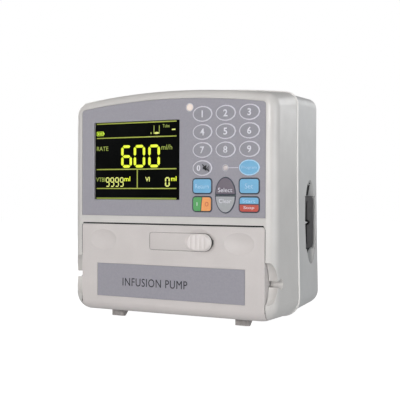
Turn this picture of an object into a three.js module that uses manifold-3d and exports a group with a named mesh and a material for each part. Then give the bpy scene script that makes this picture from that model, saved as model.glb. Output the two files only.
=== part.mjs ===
// A bench and pole infusion pump: a two-part moulded case with a display and keypad above,
// a drop-down door over a linear peristaltic mechanism below, and a pole clamp at the back.
// Millimetres, +Z up. X runs to the right of someone facing the pump and +Y runs to its back.
// Everything is laid out with y = 0 on the front face and z = 0 under the feet. The finished
// group is shifted along Y so that its origin is the middle of the base.

import * as THREE from 'three';
import { mergeVertices } from 'three/addons/utils/BufferGeometryUtils.js';
import Module from 'manifold-3d';

const wasm = await Module();
wasm.setup();

// ---------------------------------------------------------------- driving dimensions

const FIT = 0.3;                  // gap between pieces that touch

const CASE = {
  halfWidth: 108, bottom: 7.1, top: 218.2, archRadius: 700,
  cornerTop: 13, cornerBottom: 16.5, wall: 2.8,
  frontFillet: 9.5, seam: 55.1, back: 118.5, backFillet: 7,
};
const BEAD = { proud: 0.9, width: 2.6 };
const RISE = 0.088;               // the roof climbs towards the seam, mm per mm of depth
const REAR = { step: 1, side: 0.02, top: -0.01, bottom: 0.06 };   // taper, mm per mm of depth

const SHAPE = {
  depth: 35.5, draw: 0.7, flare: 2.6, flareBelow: 165, flareHeight: 135,
  crown: 1.5, crownAbove: 120, crownHeight: 80,
};

const FACE = { recess: 1.5, wall: 3.2, margin: 9.8, topTrim: 1.5, bottom: 99.6 };   // the panel round the keys
const OVERLAY = { front: 0.25, back: 1.3 };
const SCREEN = { left: -83.9, right: 11.4, bottom: 115.3, top: 190.2 };

const KEY = {
  firstX: 35.3, topZ: 194.2, pitchX: 23.5, pitchZ: 16.5, radiusX: 10.05, radiusZ: 7.2,
  front: -0.35, back: 3.0, corner: 3.2,
};
const SELECT_OVAL = { radiusX: 10.3, radiusZ: 16.4, split: 0.4 };
const KEY_BOARD_Y = 4.2;

const DOOR = { halfWidth: 97.5, top: 91.5, depth: 11.5, wall: 4, gap: 0.6, corner: 2.5 };
const BAY = { depth: 16.2, wall: 2.6 };
const HINGE = { y: 7, z: 15, radius: 1.8, halfLength: 100.6 };
const LABEL = { left: -79.8, right: 78.7, bottom: 21.4, top: 53.7, depth: 0.8 };
const LATCH = {
  left: -20.3, endX: 37, z: 76.4, halfHeight: 8.1, depth: 2, travel: 5, corner: 2,
  dishX: 32, dishRadiusX: 20, dishRadiusZ: 12.4, gripX: 30.6, gripRadiusX: 13.4,
};
const GRIP_PROUD = 1.5;
const DIMPLE = { x: 72.6, z: 76.4, radiusX: 15, radiusZ: 10, depth: 2 };

const TUBE = { y: 13.85, z: 41, slotHalf: 2.8 };
const SCOOP = { x: 100.5, y: 0, radiusX: 10.5, radiusY: 8.5, up: 19.5, down: 18.5 };
const FLARE = { inner: 2.8, outer: 5.2, length: 6 };

const BLOCK = { halfWidth: 50, cheek: 6, front: 15.4, face: 4.6, back: 54, bottom: 22, top: 60 };
const SHAFT = { y: 40, z: 41, radius: 3, left: -56, right: 71 };
const CAM = { radius: 7, throw: 1.25, width: 6 };
const FINGER = { count: 7, pitch: 9, width: 5, halfHeight: 6.5, length: 15.4, tip: 14.9, swing: 1 };
const BEARING = { outer: 8, inner: 3.3, width: 5 };
const BELT = { x: 64.5, width: 6, thickness: 1.2 };
const DRIVEN = { y: SHAFT.y, z: SHAFT.z, radius: 13 };
const MOTOR = { y: 45, z: 86, radius: 6.5, half: 21, left: 14, right: 52 };

const CHANNEL = { left: 12, right: 62, front: 80, wall: 3 };   // takes the pole, open to the back
const LEVER = { x: 100.8, y: 83.6, z: 93.8, half: 24.8, tip: 105, radius: 4, reach: 10, stroke: 6 };
const DISH = { x: 106.3, y: 93, z: 94.2, radiusX: 14, radiusY: 16, radiusZ: 41 };
const JAW = { face: 39, plate: 7.5, z: 93.8 };

const FOOT = { frontX: 67.5, rearX: 55, halfWidth: 7, frontY: 18.4, rearY: 62 };
const INLET = { x: -66, z: 42, halfWidth: 15, halfHeight: 11.5, proud: 1.5 };

const ORIGIN_Y = (CASE.back + INLET.proud - GRIP_PROUD) / 2;

// ---------------------------------------------------------------- solids from geometry

const COLOURS = {
  case_front: [0xd9d8d2, 0.5, 0], case_rear: [0xc6c8c9, 0.55, 0], door: [0xd3cec8, 0.5, 0],
  overlay: [0x9a9aa2, 0.6, 0], key_grey: [0xa0a0a7, 0.55, 0], key_blue: [0x6fb2d8, 0.5, 0],
  key_dark: [0x5f5a63, 0.5, 0], key_light: [0xb4b5ba, 0.5, 0], key_power: [0x59a765, 0.5, 0],
  glass: [0x0a0a0e, 0.1, 0], board: [0x1f5a38, 0.6, 0], dark: [0x3b3a3d, 0.6, 0],
  steel: [0xb9bcc0, 0.3, 0.9], rubber: [0x2b2b2d, 0.85, 0], acetal: [0xeeeeea, 0.4, 0],
  lamp: [0xf4e6de, 0.3, 0], battery: [0x3566a8, 0.5, 0], alloy: [0xaeb2b5, 0.4, 0.8],
};

const group = new THREE.Group();

// A closed three.js geometry as a manifold-3d solid, turned the right way out.
function solid(geometry) {
  const bare = geometry.clone();
  bare.deleteAttribute('normal');
  bare.deleteAttribute('uv');
  const merged = mergeVertices(bare, 1e-4);
  const mesh = { numProp: 3, vertProperties: new Float32Array(merged.attributes.position.array) };
  mesh.triVerts = new Uint32Array(merged.index.array);
  const made = new wasm.Manifold(new wasm.Mesh(mesh));
  if (made.volume() > 0) return made;
  for (let i = 0; i < mesh.triVerts.length; i += 3) {
    const kept = mesh.triVerts[i + 1];
    mesh.triVerts[i + 1] = mesh.triVerts[i + 2];
    mesh.triVerts[i + 2] = kept;
  }
  return new wasm.Manifold(new wasm.Mesh(mesh));
}

// Adds a solid to the assembly as a named mesh with its own material.
function part(name, colour, made) {
  const { vertProperties, triVerts, numProp } = made.getMesh();
  const count = vertProperties.length / numProp;
  const points = new Float32Array(count * 3);
  for (let i = 0; i < count; i++) {
    points.set(vertProperties.subarray(i * numProp, i * numProp + 3), i * 3);
  }
  const geometry = new THREE.BufferGeometry();
  geometry.setAttribute('position', new THREE.BufferAttribute(points, 3));
  geometry.setIndex(new THREE.BufferAttribute(new Uint32Array(triVerts), 1));
  geometry.computeVertexNormals();
  const [color, roughness, metalness] = COLOURS[colour];
  const mesh = new THREE.Mesh(geometry, new THREE.MeshStandardMaterial({ color, roughness, metalness }));
  mesh.name = name;
  group.add(mesh);
}

function box(x0, x1, y0, y1, z0, z1) {
  const geometry = new THREE.BoxGeometry(x1 - x0, y1 - y0, z1 - z0);
  return solid(geometry.translate((x0 + x1) / 2, (y0 + y1) / 2, (z0 + z1) / 2));
}

// A round bar along one axis; the two centre values are the other axes in X, Y, Z order.
function rod(axis, radius, from, to, a, b, segments = 24, endRadius = radius) {
  const geometry = new THREE.CylinderGeometry(endRadius, radius, to - from, segments);
  const middle = (from + to) / 2;
  if (axis === 'x') return solid(geometry.rotateZ(-Math.PI / 2).translate(middle, a, b));
  if (axis === 'z') return solid(geometry.rotateX(Math.PI / 2).translate(a, b, middle));
  return solid(geometry.translate(a, middle, b));
}

function ellipsoid(at, radii, across = 28, along = 18) {
  const geometry = new THREE.SphereGeometry(1, across, along);
  return solid(geometry.scale(...radii).translate(...at));
}

function extrude(shape, depth, segments = 6) {
  return new THREE.ExtrudeGeometry(shape, { depth, bevelEnabled: false, curveSegments: segments });
}

// A prism of an outline drawn in (x, z), running along Y.
function prismY(shape, y0, y1, segments) {
  return solid(extrude(shape, y1 - y0, segments).rotateX(Math.PI / 2).translate(0, y1, 0));
}

// A prism of an outline drawn in (y, z), running along X.
function prismX(shape, x0, x1, segments) {
  const turn = new THREE.Matrix4().makeBasis(
    new THREE.Vector3(0, 1, 0), new THREE.Vector3(0, 0, 1), new THREE.Vector3(1, 0, 0));
  return solid(extrude(shape, x1 - x0, segments).applyMatrix4(turn).translate(x0, 0, 0));
}

// A prism of an outline drawn in (x, y), running along Z.
function prismZ(shape, z0, z1, segments) {
  return solid(extrude(shape, z1 - z0, segments).translate(0, 0, z0));
}

function polygon(points) {
  return new THREE.Shape(points.map(([a, b]) => new THREE.Vector2(a, b)));
}

function roundedRect(x0, x1, z0, z1, radius) {
  const shape = new THREE.Shape();
  const quarter = Math.PI / 2;
  shape.moveTo(x0 + radius, z0);
  shape.absarc(x1 - radius, z0 + radius, radius, -quarter, 0, false);
  shape.absarc(x1 - radius, z1 - radius, radius, 0, quarter, false);
  shape.absarc(x0 + radius, z1 - radius, radius, quarter, 2 * quarter, false);
  shape.absarc(x0 + radius, z0 + radius, radius, 2 * quarter, 3 * quarter, false);
  shape.closePath();
  return shape;
}

function ellipse(x, z, radiusX, radiusZ) {
  const shape = new THREE.Shape();
  shape.absellipse(x, z, radiusX, radiusZ, 0, 2 * Math.PI, false, 0);
  return shape;
}

// A solid of revolution about an X-parallel axis through (y, z). The profile is [x, radius] pairs.
function turned(profile, y, z, segments = 28) {
  const points = profile.map(([x, radius]) => new THREE.Vector2(radius, x));
  const geometry = new THREE.LatheGeometry(points, segments);
  return solid(geometry.rotateZ(-Math.PI / 2).translate(0, y, z));
}

// ---------------------------------------------------------------- the case's outline

const CORNER_STEPS = 8;
const ARCH_STEPS = 14;
const SIDE_STEPS = 6;

function arc(points, x, z, radius, from, to, steps) {
  for (let i = 0; i <= steps; i++) {
    const angle = from + ((to - from) * i) / steps;
    points.push([x + radius * Math.cos(angle), z + radius * Math.sin(angle)]);
  }
}

// Points between the ends of an upright side.
function upright(points, x, from, to) {
  for (let i = 1; i < SIDE_STEPS; i++) points.push([x, from + ((to - from) * i) / SIDE_STEPS]);
}

// The case seen from the front, moved inwards at its sides, top and bottom: a rounded rectangle
// under a shallow arch.
function caseOutline(side, top = side, bottom = side) {
  const half = CASE.halfWidth;
  const archZ = CASE.top - CASE.archRadius - top + side;
  const cornerX = half - CASE.cornerTop;
  const lean = Math.acos(cornerX / (CASE.archRadius - CASE.cornerTop));
  const cornerZ = archZ + (CASE.archRadius - CASE.cornerTop) * Math.sin(lean);
  const lowX = half - CASE.cornerBottom;
  const lowZ = CASE.bottom + CASE.cornerBottom + bottom - side;
  const [high, low] = [CASE.cornerTop - side, CASE.cornerBottom - side];
  const points = [];
  arc(points, cornerX, cornerZ, high, 0, lean, CORNER_STEPS);
  arc(points, 0, archZ, CASE.archRadius - side, lean, Math.PI - lean, ARCH_STEPS);
  arc(points, -cornerX, cornerZ, high, Math.PI - lean, Math.PI, CORNER_STEPS);
  upright(points, side - half, cornerZ, lowZ);
  arc(points, -lowX, lowZ, low, Math.PI, 1.5 * Math.PI, CORNER_STEPS);
  arc(points, lowX, lowZ, low, 1.5 * Math.PI, 2 * Math.PI, CORNER_STEPS);
  upright(points, half - side, lowZ, cornerZ);
  return points.filter(([x, z], i) => {
    const [nextX, nextZ] = points[(i + 1) % points.length];
    return Math.hypot(x - nextX, z - nextZ) > 1e-3;
  });
}

// Behind its front edge the case draws in a little at the sides, spreads towards the feet and
// has a flatter crown.
function shaped(x, y, z) {
  const within = (value) => THREE.MathUtils.clamp(value, 0, 1);
  const depth = within((y - CASE.frontFillet) / SHAPE.depth);
  const low = within((SHAPE.flareBelow - z) / SHAPE.flareHeight) ** 1.5;
  const high = within((z - SHAPE.crownAbove) / SHAPE.crownHeight);
  const wider = (x / CASE.halfWidth) * (SHAPE.flare * low - SHAPE.draw);
  return [x + depth * wider, y, z + depth * high * SHAPE.crown * (x / CASE.halfWidth) ** 2];
}

// A closed solid through rings of [y, side, top, bottom], skinned between neighbouring outlines.
function loft(rings) {
  const loops = rings.map(([, ...insets]) => caseOutline(...insets));
  const n = loops[0].length;
  const points = loops.flatMap((loop, i) => loop.map(([x, z]) => shaped(x, rings[i][0], z)));
  const middleZ = (CASE.bottom + CASE.top) / 2;
  points.push([0, rings[0][0], middleZ], [0, rings[rings.length - 1][0], middleZ]);
  const index = [];
  for (let r = 0; r + 1 < loops.length; r++) {
    for (let i = 0; i < n; i++) {
      const next = (i + 1) % n;
      const [a, b, c, d] = [r * n + i, r * n + next, (r + 1) * n + next, (r + 1) * n + i];
      index.push(a, b, c, a, c, d);
    }
  }
  const last = (loops.length - 1) * n;
  for (let i = 0; i < n; i++) {
    const next = (i + 1) % n;
    index.push(last + n, next, i);
    index.push(last + n + 1, last + i, last + next);
  }
  const geometry = new THREE.BufferGeometry();
  geometry.setAttribute('position', new THREE.BufferAttribute(new Float32Array(points.flat()), 3));
  geometry.setIndex(index);
  return solid(geometry);
}

// Rings of a quarter-round edge of the given radius, from the face at y inwards along +Y or -Y.
function filletRings(y, radius, direction, insets, steps = 6) {
  const rings = [];
  for (let i = 0; i <= steps; i++) {
    const angle = (i / steps) * (Math.PI / 2);
    const more = radius * (1 - Math.sin(angle));
    const along = radius * (1 - Math.cos(angle));
    rings.push([y + direction * along, ...insets.map((inset) => inset + more)]);
  }
  return direction > 0 ? rings : rings.reverse();
}

// How far the front case's walls stand in at a depth, with some more on every side.
function frontInsets(y, more = 0) {
  return [more, more - RISE * Math.max(0, y - CASE.frontFillet), more];
}

function frontEnvelope() {
  const { seam, frontFillet } = CASE;
  const start = seam - BEAD.width;
  const bead = [[start, 0], [start + 0.4, 0.7], [start + 1, 1], [seam - 0.6, 1], [seam, 0.5]];
  return loft([
    ...filletRings(0, frontFillet, 1, frontInsets(0)),
    ...bead.map(([y, part]) => [y, ...frontInsets(y, -BEAD.proud * part)]),
  ]);
}

function rearInsets(y, more = 0) {
  const depth = y - CASE.seam;
  const top = frontInsets(CASE.seam)[1] + REAR.step + REAR.top * depth;
  return [more + REAR.step + REAR.side * depth, more + top, more + REAR.step + REAR.bottom * depth];
}

function rearEnvelope(more, from, to, fillet) {
  return loft([[from, ...rearInsets(from, more)], ...filletRings(to, fillet, -1, rearInsets(to, more))]);
}

// ---------------------------------------------------------------- keypad layout

function keyCentre(column, row) {
  return [KEY.firstX + column * KEY.pitchX, KEY.topZ - row * KEY.pitchZ];
}

function ovalHalf(upper, grow) {
  const [x, z] = keyCentre(1, 4.5);
  const shape = new THREE.Shape();
  const split = SELECT_OVAL.split - grow;
  const [rx, rz] = [SELECT_OVAL.radiusX + grow, SELECT_OVAL.radiusZ + grow];
  const start = Math.asin(split / rz);
  const turn = upper ? 0 : Math.PI;
  shape.absellipse(x, z, rx, rz, turn + start, turn + Math.PI - start, false, 0);
  shape.closePath();
  return shape;
}

function keyOutline(key, grow) {
  if (key.form === 'upper' || key.form === 'lower') return ovalHalf(key.form === 'upper', grow);
  const [x, z] = keyCentre(key.column, key.row);
  const [rx, rz] = [KEY.radiusX + grow, KEY.radiusZ + grow];
  if (key.form === 'oval') return ellipse(x, z, rx, rz);
  return roundedRect(x - rx, x + rx, z - rz, z + rz, KEY.corner + grow);
}

function listKeys() {
  const keys = [];
  for (let digit = 1; digit <= 9; digit++) {
    const [column, row] = [(digit - 1) % 3, Math.floor((digit - 1) / 3)];
    keys.push({ name: `key_${digit}`, form: 'oval', column, row, colour: 'key_grey' });
  }
  keys.push(
    { name: 'key_0_mute', form: 'oval', column: 0, row: 3, colour: 'key_grey' },
    { name: 'key_program', form: 'oval', column: 2, row: 3, colour: 'key_blue' },
    { name: 'key_return', form: 'square', column: 0, row: 4, colour: 'key_blue' },
    { name: 'key_set', form: 'square', column: 2, row: 4, colour: 'key_blue' },
    { name: 'key_power', form: 'square', column: 0, row: 5, colour: 'key_power' },
    { name: 'key_start_stop', form: 'square', column: 2, row: 5, colour: 'key_blue' },
    { name: 'key_select', form: 'upper', colour: 'key_dark' },
    { name: 'key_clear', form: 'lower', colour: 'key_light' },
  );
  return keys;
}

const KEYS = listKeys();
const ALARM_LAMP = { x: 22, z: 200.8, radius: 3.2 };
const PROGRAM_LAMP = { x: keyCentre(1, 3)[0], z: keyCentre(1, 3)[1], radius: 2.3 };

// ---------------------------------------------------------------- front case and panel

const FAR = 300;   // longer than anything here, for cutting tools

function upperFace(inset, y0, y1) {
  const insets = [inset, inset - FACE.topTrim, inset];
  const slab = loft([[y0, ...insets], [y1, ...insets]]);
  return slab.intersect(box(-FAR, FAR, -FAR, FAR, FACE.bottom + inset - FACE.margin, FAR));
}

function tubeSlot(side) {
  const { y, z, slotHalf } = TUBE;
  const outline = [[-5, z + slotHalf], [-5, z - slotHalf]];
  arc(outline, y - 0.6, z, slotHalf, -Math.PI / 2, Math.PI / 2, 12);
  const edge = CASE.halfWidth;
  const [from, to] = side > 0 ? [90, edge + 5] : [-edge - 5, -90];
  const flareFrom = side > 0 ? edge - FLARE.length : -edge - 0.2;
  const flareTo = side > 0 ? edge + 0.2 : -edge + FLARE.length;
  const [r0, r1] = side > 0 ? [FLARE.inner, FLARE.outer] : [FLARE.outer, FLARE.inner];
  const flare = rod('x', r0, flareFrom, flareTo, y - 1.6, z, 24, r1);
  return prismX(polygon(outline), from, to).add(flare);
}

// The hollow at the corner where a tube is led out, longer below the slot than above it.
function sideScoop(side) {
  const { x, y, radiusX, radiusY, up, down } = SCOOP;
  const half = (tall, z0, z1) => ellipsoid([side * x, y, TUBE.z], [radiusX, radiusY, tall])
    .intersect(box(-FAR, FAR, -FAR, FAR, z0, z1));
  return half(up, TUBE.z - 0.1, FAR).add(half(down, -FAR, TUBE.z + 0.1));
}

function frontHousing() {
  const inner = CASE.wall;
  const split = FACE.bottom - 5;
  const bayX = DOOR.halfWidth + DOOR.gap;
  const upper = loft([[FACE.wall, ...frontInsets(0, inner)], [CASE.seam + 1, ...frontInsets(CASE.seam, inner)]])
    .intersect(box(-FAR, FAR, -FAR, FAR, split, FAR));
  const lowerFrom = BAY.depth + BAY.wall;
  const lower = loft([[lowerFrom, inner], [CASE.seam + 1, inner]])
    .intersect(box(-FAR, FAR, -FAR, FAR, -FAR, split + 1));
  let made = frontEnvelope().subtract(upper).subtract(lower);
  made = made.subtract(prismY(roundedRect(-bayX, bayX, -20, DOOR.top + DOOR.gap, DOOR.corner + DOOR.gap),
    -5, BAY.depth, 4));
  made = made.subtract(upperFace(FACE.margin, -5, FACE.recess));
  made = made.subtract(upperFace(FACE.margin + 1.6, -5, FACE.wall + 1)
    .intersect(box(KEY.firstX - KEY.radiusX - 1.2, FAR, -FAR, FAR, -FAR, FAR)));
  made = made.subtract(box(SCREEN.left, SCREEN.right, -5, FACE.wall + 1, SCREEN.bottom, SCREEN.top));
  made = made.subtract(rod('y', ALARM_LAMP.radius + FIT, -5, 10, ALARM_LAMP.x, ALARM_LAMP.z, 16));
  made = made.subtract(box(-BLOCK.halfWidth - FIT, BLOCK.halfWidth + FIT, BAY.depth - 1,
    lowerFrom + 1, BLOCK.bottom - FIT, BLOCK.top + FIT));
  made = made.subtract(rod('x', HINGE.radius + FIT, -HINGE.halfLength - FIT,
    HINGE.halfLength + FIT, HINGE.y, HINGE.z, 16));
  for (const side of [-1, 1]) {
    made = made.subtract(tubeSlot(side)).subtract(sideScoop(side));
    made = made.subtract(box(side * 55 - 9, side * 55 + 9, BAY.depth - 1, lowerFrom + 1, 71, 81));
  }
  return made;
}

function controlOverlay() {
  let made = upperFace(FACE.margin + FIT, OVERLAY.front, OVERLAY.back);
  made = made.subtract(box(SCREEN.left, SCREEN.right, -5, 5, SCREEN.bottom, SCREEN.top));
  for (const key of KEYS) made = made.subtract(prismY(keyOutline(key, FIT), -5, 5, 6));
  for (const lamp of [ALARM_LAMP, PROGRAM_LAMP]) {
    made = made.subtract(rod('y', lamp.radius + FIT, -5, 5, lamp.x, lamp.z, 16));
  }
  return made;
}

function lamp({ x, z, radius }) {
  const body = rod('y', radius, 0.4, KEY_BOARD_Y - FIT, x, z, 16);
  return body.add(rod('y', radius * 0.7, -0.3, 0.4, x, z, 16, radius));
}

part('front_housing', 'case_front', frontHousing());
part('control_overlay', 'overlay', controlOverlay());
part('lcd_window', 'glass', box(SCREEN.left + FIT, SCREEN.right - FIT, 1.7, 3,
  SCREEN.bottom + FIT, SCREEN.top - FIT));
part('lcd_module', 'dark', box(SCREEN.left - 4, SCREEN.right + 4, KEY_BOARD_Y, 11,
  SCREEN.bottom - 4, SCREEN.top + 4));
part('keypad_board', 'board', upperFace(FACE.margin + 3, KEY_BOARD_Y, KEY_BOARD_Y + 1.6)
  .intersect(box(SCREEN.right + 6, FAR, -FAR, FAR, -FAR, FAR)));
part('alarm_lamp', 'lamp', lamp(ALARM_LAMP));
part('program_lamp', 'lamp', lamp(PROGRAM_LAMP));
for (const key of KEYS) {
  part(key.name, key.colour, prismY(keyOutline(key, 0), KEY.front, KEY.back, 6));
}

// ---------------------------------------------------------------- door, hinge and latch

function latchPlate(grow, travel, front, back) {
  const { left, endX, z, halfHeight, corner } = LATCH;
  const r = halfHeight + grow;
  const points = [];
  arc(points, left + corner, z + halfHeight - corner, corner + grow, Math.PI / 2, Math.PI, 4);
  arc(points, left + corner, z - halfHeight + corner, corner + grow, Math.PI, 1.5 * Math.PI, 4);
  arc(points, endX + travel, z, r, -Math.PI / 2, Math.PI / 2, 16);
  return prismY(polygon(points), front, back);
}

function doorCover() {
  const { halfWidth, top, depth, wall, corner } = DOOR;
  let made = frontEnvelope().intersect(prismY(roundedRect(-halfWidth, halfWidth, -20, top, corner), -5, depth, 4));
  const hollow = polygon([[wall, top - 3], [wall, 24], [6, 20], [depth + 5, 20], [depth + 5, top - 3]]);
  made = made.subtract(prismX(hollow, -halfWidth + 3, halfWidth - 3));
  made = made.subtract(box(LABEL.left, LABEL.right, -5, LABEL.depth, LABEL.bottom, LABEL.top));
  made = made.subtract(latchPlate(FIT, LATCH.travel + FIT, -5, LATCH.depth + FIT));
  made = made.subtract(ellipsoid([LATCH.dishX, -10, LATCH.z], [LATCH.dishRadiusX * 1.28,
    12.6, LATCH.dishRadiusZ * 1.64], 32, 24));
  made = made.subtract(box(22, 46, -5, wall + 5, LATCH.z - 3, LATCH.z + 3));
  for (const side of [-1, 1]) {
    made = made.subtract(ellipsoid([side * DIMPLE.x, -10, DIMPLE.z], [DIMPLE.radiusX * 1.81,
      10 + DIMPLE.depth, DIMPLE.radiusZ * 1.81], 24, 24));
  }
  return made.subtract(rod('x', HINGE.radius + FIT, -FAR, FAR, HINGE.y, HINGE.z, 16));
}

function doorLiner() {
  const { halfWidth, top, depth } = DOOR;
  const edge = halfWidth - 3 - FIT;
  let made = box(-edge, edge, depth - 2.4, depth, 20 + FIT, top - 3 - FIT);
  made = made.subtract(box(-38, 38, 0, 20, TUBE.z - 9, TUBE.z + 9));
  for (const side of [-1, 1]) {
    made = made.subtract(box(side * 55 - 9, side * 55 + 9, 0, 20, 71, 81));
  }
  return made;
}

function latchSlider() {
  const { gripX, gripRadiusX, z, halfHeight, depth } = LATCH;
  const grip = prismY(ellipse(gripX, z, gripRadiusX, halfHeight - 0.2), -0.7, 0.5, 8);
  const ribs = [];
  for (let i = -2; i <= 2; i++) {
    const x = gripX + i * 4.6;
    const half = (halfHeight - 1.2) * Math.sqrt(1 - ((i * 4.6) / gripRadiusX) ** 2);
    ribs.push(box(x - 1.1, x + 1.1, -GRIP_PROUD, 0.5, z - half, z + half));
  }
  const stem = box(25, 31, depth - 0.5, DOOR.wall + 0.3, z - 2.4, z + 2.4);
  return ribs.reduce((sum, rib) => sum.add(rib), latchPlate(0, 0, 0, depth).add(grip).add(stem));
}

// The bar behind the door's face: it carries a hook at each end through the liner.
function latchBolt() {
  const y = DOOR.wall + 0.6;
  let made = box(-62, 62, y, y + 2.4, LATCH.z - 3.6, LATCH.z + 3.6);
  for (const side of [-1, 1]) {
    const x = side * 55;
    made = made.add(box(x - 3, x + 1, y, 20.5, LATCH.z - 3, LATCH.z + 3));
    made = made.add(box(x - 3, x + 3, 19.2, 20.5, LATCH.z - 3, LATCH.z + 3));
  }
  return made;
}

part('door_cover', 'door', doorCover());
part('door_liner', 'door', doorLiner());
part('door_label', 'overlay', box(LABEL.left + FIT, LABEL.right - FIT, 0.05, LABEL.depth - FIT,
  LABEL.bottom + FIT, LABEL.top - FIT));
part('latch_slider', 'door', latchSlider());
part('latch_bolt', 'steel', latchBolt());
part('hinge_rod', 'steel', rod('x', HINGE.radius, -HINGE.halfLength, HINGE.halfLength,
  HINGE.y, HINGE.z, 16));
part('platen', 'steel', box(-37, 37, DOOR.depth - 4, DOOR.depth + 1.2, TUBE.z - 8, TUBE.z + 8));

// ---------------------------------------------------------------- peristaltic mechanism

function fingerX(i) {
  return (i - (FINGER.count - 1) / 2) * FINGER.pitch;
}

function fingerPhase(i) {
  return (i * 2 * Math.PI) / FINGER.count;
}

function pumpBlock() {
  const { halfWidth, cheek, front, face, back, bottom, top } = BLOCK;
  let made = box(-halfWidth, halfWidth, front, back, bottom, top);
  made = made.subtract(box(-halfWidth + cheek, halfWidth - cheek, front + face, back + 5,
    bottom + 4, top - 4));
  made = made.subtract(rod('x', BEARING.outer + FIT, -FAR, FAR, SHAFT.y, SHAFT.z, 28));
  for (let i = 0; i < FINGER.count; i++) {
    const x = fingerX(i);
    const [half, tall] = [FINGER.width / 2 + FIT, FINGER.halfHeight + FIT];
    made = made.subtract(box(x - half, x + half, 0, front + face + 1, SHAFT.z - tall, SHAFT.z + tall));
  }
  return made;
}

function camshaft() {
  let made = rod('x', SHAFT.radius, SHAFT.left, SHAFT.right, SHAFT.y, SHAFT.z, 20);
  for (let i = 0; i < FINGER.count; i++) {
    const [x, phase] = [fingerX(i), fingerPhase(i)];
    const y = SHAFT.y - CAM.throw * Math.cos(phase);
    const z = SHAFT.z + CAM.throw * Math.sin(phase);
    made = made.add(rod('x', CAM.radius, x - CAM.width / 2, x + CAM.width / 2, y, z, 24));
  }
  return made;
}

function bearing(side) {
  const middle = side * (BLOCK.halfWidth - BLOCK.cheek / 2);
  const [from, to] = [middle - BEARING.width / 2, middle + BEARING.width / 2];
  const outer = rod('x', BEARING.outer, from, to, SHAFT.y, SHAFT.z, 28);
  return outer.subtract(rod('x', BEARING.inner, from - 1, to + 1, SHAFT.y, SHAFT.z, 20));
}

function pulley({ y, z, radius }, bore) {
  const half = BELT.width / 2 + 0.4;
  const rim = radius + BELT.thickness + 1.2;
  const profile = [
    [BELT.x - half - 1.2, bore], [BELT.x - half - 1.2, rim], [BELT.x - half, rim],
    [BELT.x - half, radius], [BELT.x + half, radius], [BELT.x + half, rim],
    [BELT.x + half + 1.2, rim], [BELT.x + half + 1.2, bore], [BELT.x - half - 1.2, bore],
  ];
  return turned(profile, y, z);
}

// The two straight runs of a belt leave each pulley at the angle where both share a tangent.
function beltLoop(offset) {
  const [dy, dz] = [MOTOR.y - DRIVEN.y, MOTOR.z - DRIVEN.z];
  const toward = Math.atan2(dz, dy);
  const open = Math.acos((DRIVEN.radius - MOTOR.radius) / Math.hypot(dy, dz));
  const points = [];
  arc(points, DRIVEN.y, DRIVEN.z, DRIVEN.radius + offset, toward + open,
    toward + 2 * Math.PI - open, 20);
  arc(points, MOTOR.y, MOTOR.z, MOTOR.radius + offset, toward - open, toward + open, 12);
  return polygon(points);
}

function driveBelt() {
  const [from, to] = [BELT.x - BELT.width / 2, BELT.x + BELT.width / 2];
  const outer = prismX(beltLoop(FIT + BELT.thickness), from, to);
  return outer.subtract(prismX(beltLoop(FIT), from - 1, to + 1));
}

function stepperMotor() {
  const { y, z, half, left, right } = MOTOR;
  const body = prismX(roundedRect(y - half, y + half, z - half, z + half, 4), left, right, 3);
  const boss = rod('x', 11, right - 1, right + 2, y, z, 24);
  return body.add(boss).add(rod('x', 2.5, right, 70, y, z, 16));
}

function finger(i) {
  const x = fingerX(i);
  const tip = FINGER.tip - FINGER.swing * Math.cos(fingerPhase(i));
  return box(x - FINGER.width / 2, x + FINGER.width / 2, tip, tip + FINGER.length,
    SHAFT.z - FINGER.halfHeight, SHAFT.z + FINGER.halfHeight);
}

function bubbleSensor() {
  const body = box(60, 78, 12.4, BAY.depth - FIT, TUBE.z - 8, TUBE.z + 8);
  return body.subtract(box(59, 79, 0, 15.3, TUBE.z - 2.2, TUBE.z + 2.2));
}

part('pump_block', 'alloy', pumpBlock());
part('camshaft', 'steel', camshaft());
part('cam_bearing_left', 'steel', bearing(-1));
part('cam_bearing_right', 'steel', bearing(1));
part('driven_pulley', 'dark', pulley(DRIVEN, SHAFT.radius + FIT));
part('motor_pulley', 'dark', pulley(MOTOR, 2.5 + FIT));
part('drive_belt', 'rubber', driveBelt());
part('stepper_motor', 'dark', stepperMotor());
for (let i = 0; i < FINGER.count; i++) part(`pump_finger_${i + 1}`, 'acetal', finger(i));
part('bubble_sensor', 'dark', bubbleSensor());

// ---------------------------------------------------------------- rear case and pole clamp

const LEVER_POCKET = { x: 90.4, front: 78, back: 108.6, gap: 0.8 };
const STEM = { front: 84, back: 101.5, halfHeight: 10 };

function leverPocket() {
  const { x, front, back, gap } = LEVER_POCKET;
  return box(x, FAR, front, back, LEVER.z - LEVER.half - gap, LEVER.z + LEVER.half + gap);
}

// The pointer on the case that shows the lever is home.
function leverPointer() {
  const { z } = LEVER;
  const outline = polygon([[77.5, z - 1.9], [88.3, z - 0.25], [88.3, z + 0.25], [77.5, z + 1.9]]);
  return prismX(outline, 102.9, 104.9);
}

function ventSlots() {
  const slots = [];
  for (let i = 0; i < 7; i++) {
    const z = 152 + i * 6;
    slots.push(prismY(roundedRect(-80, -30, z - 1.3, z + 1.3, 1.2), CASE.back - 6, CASE.back + 5, 3));
  }
  return slots.reduce((sum, slot) => sum.add(slot));
}

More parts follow.
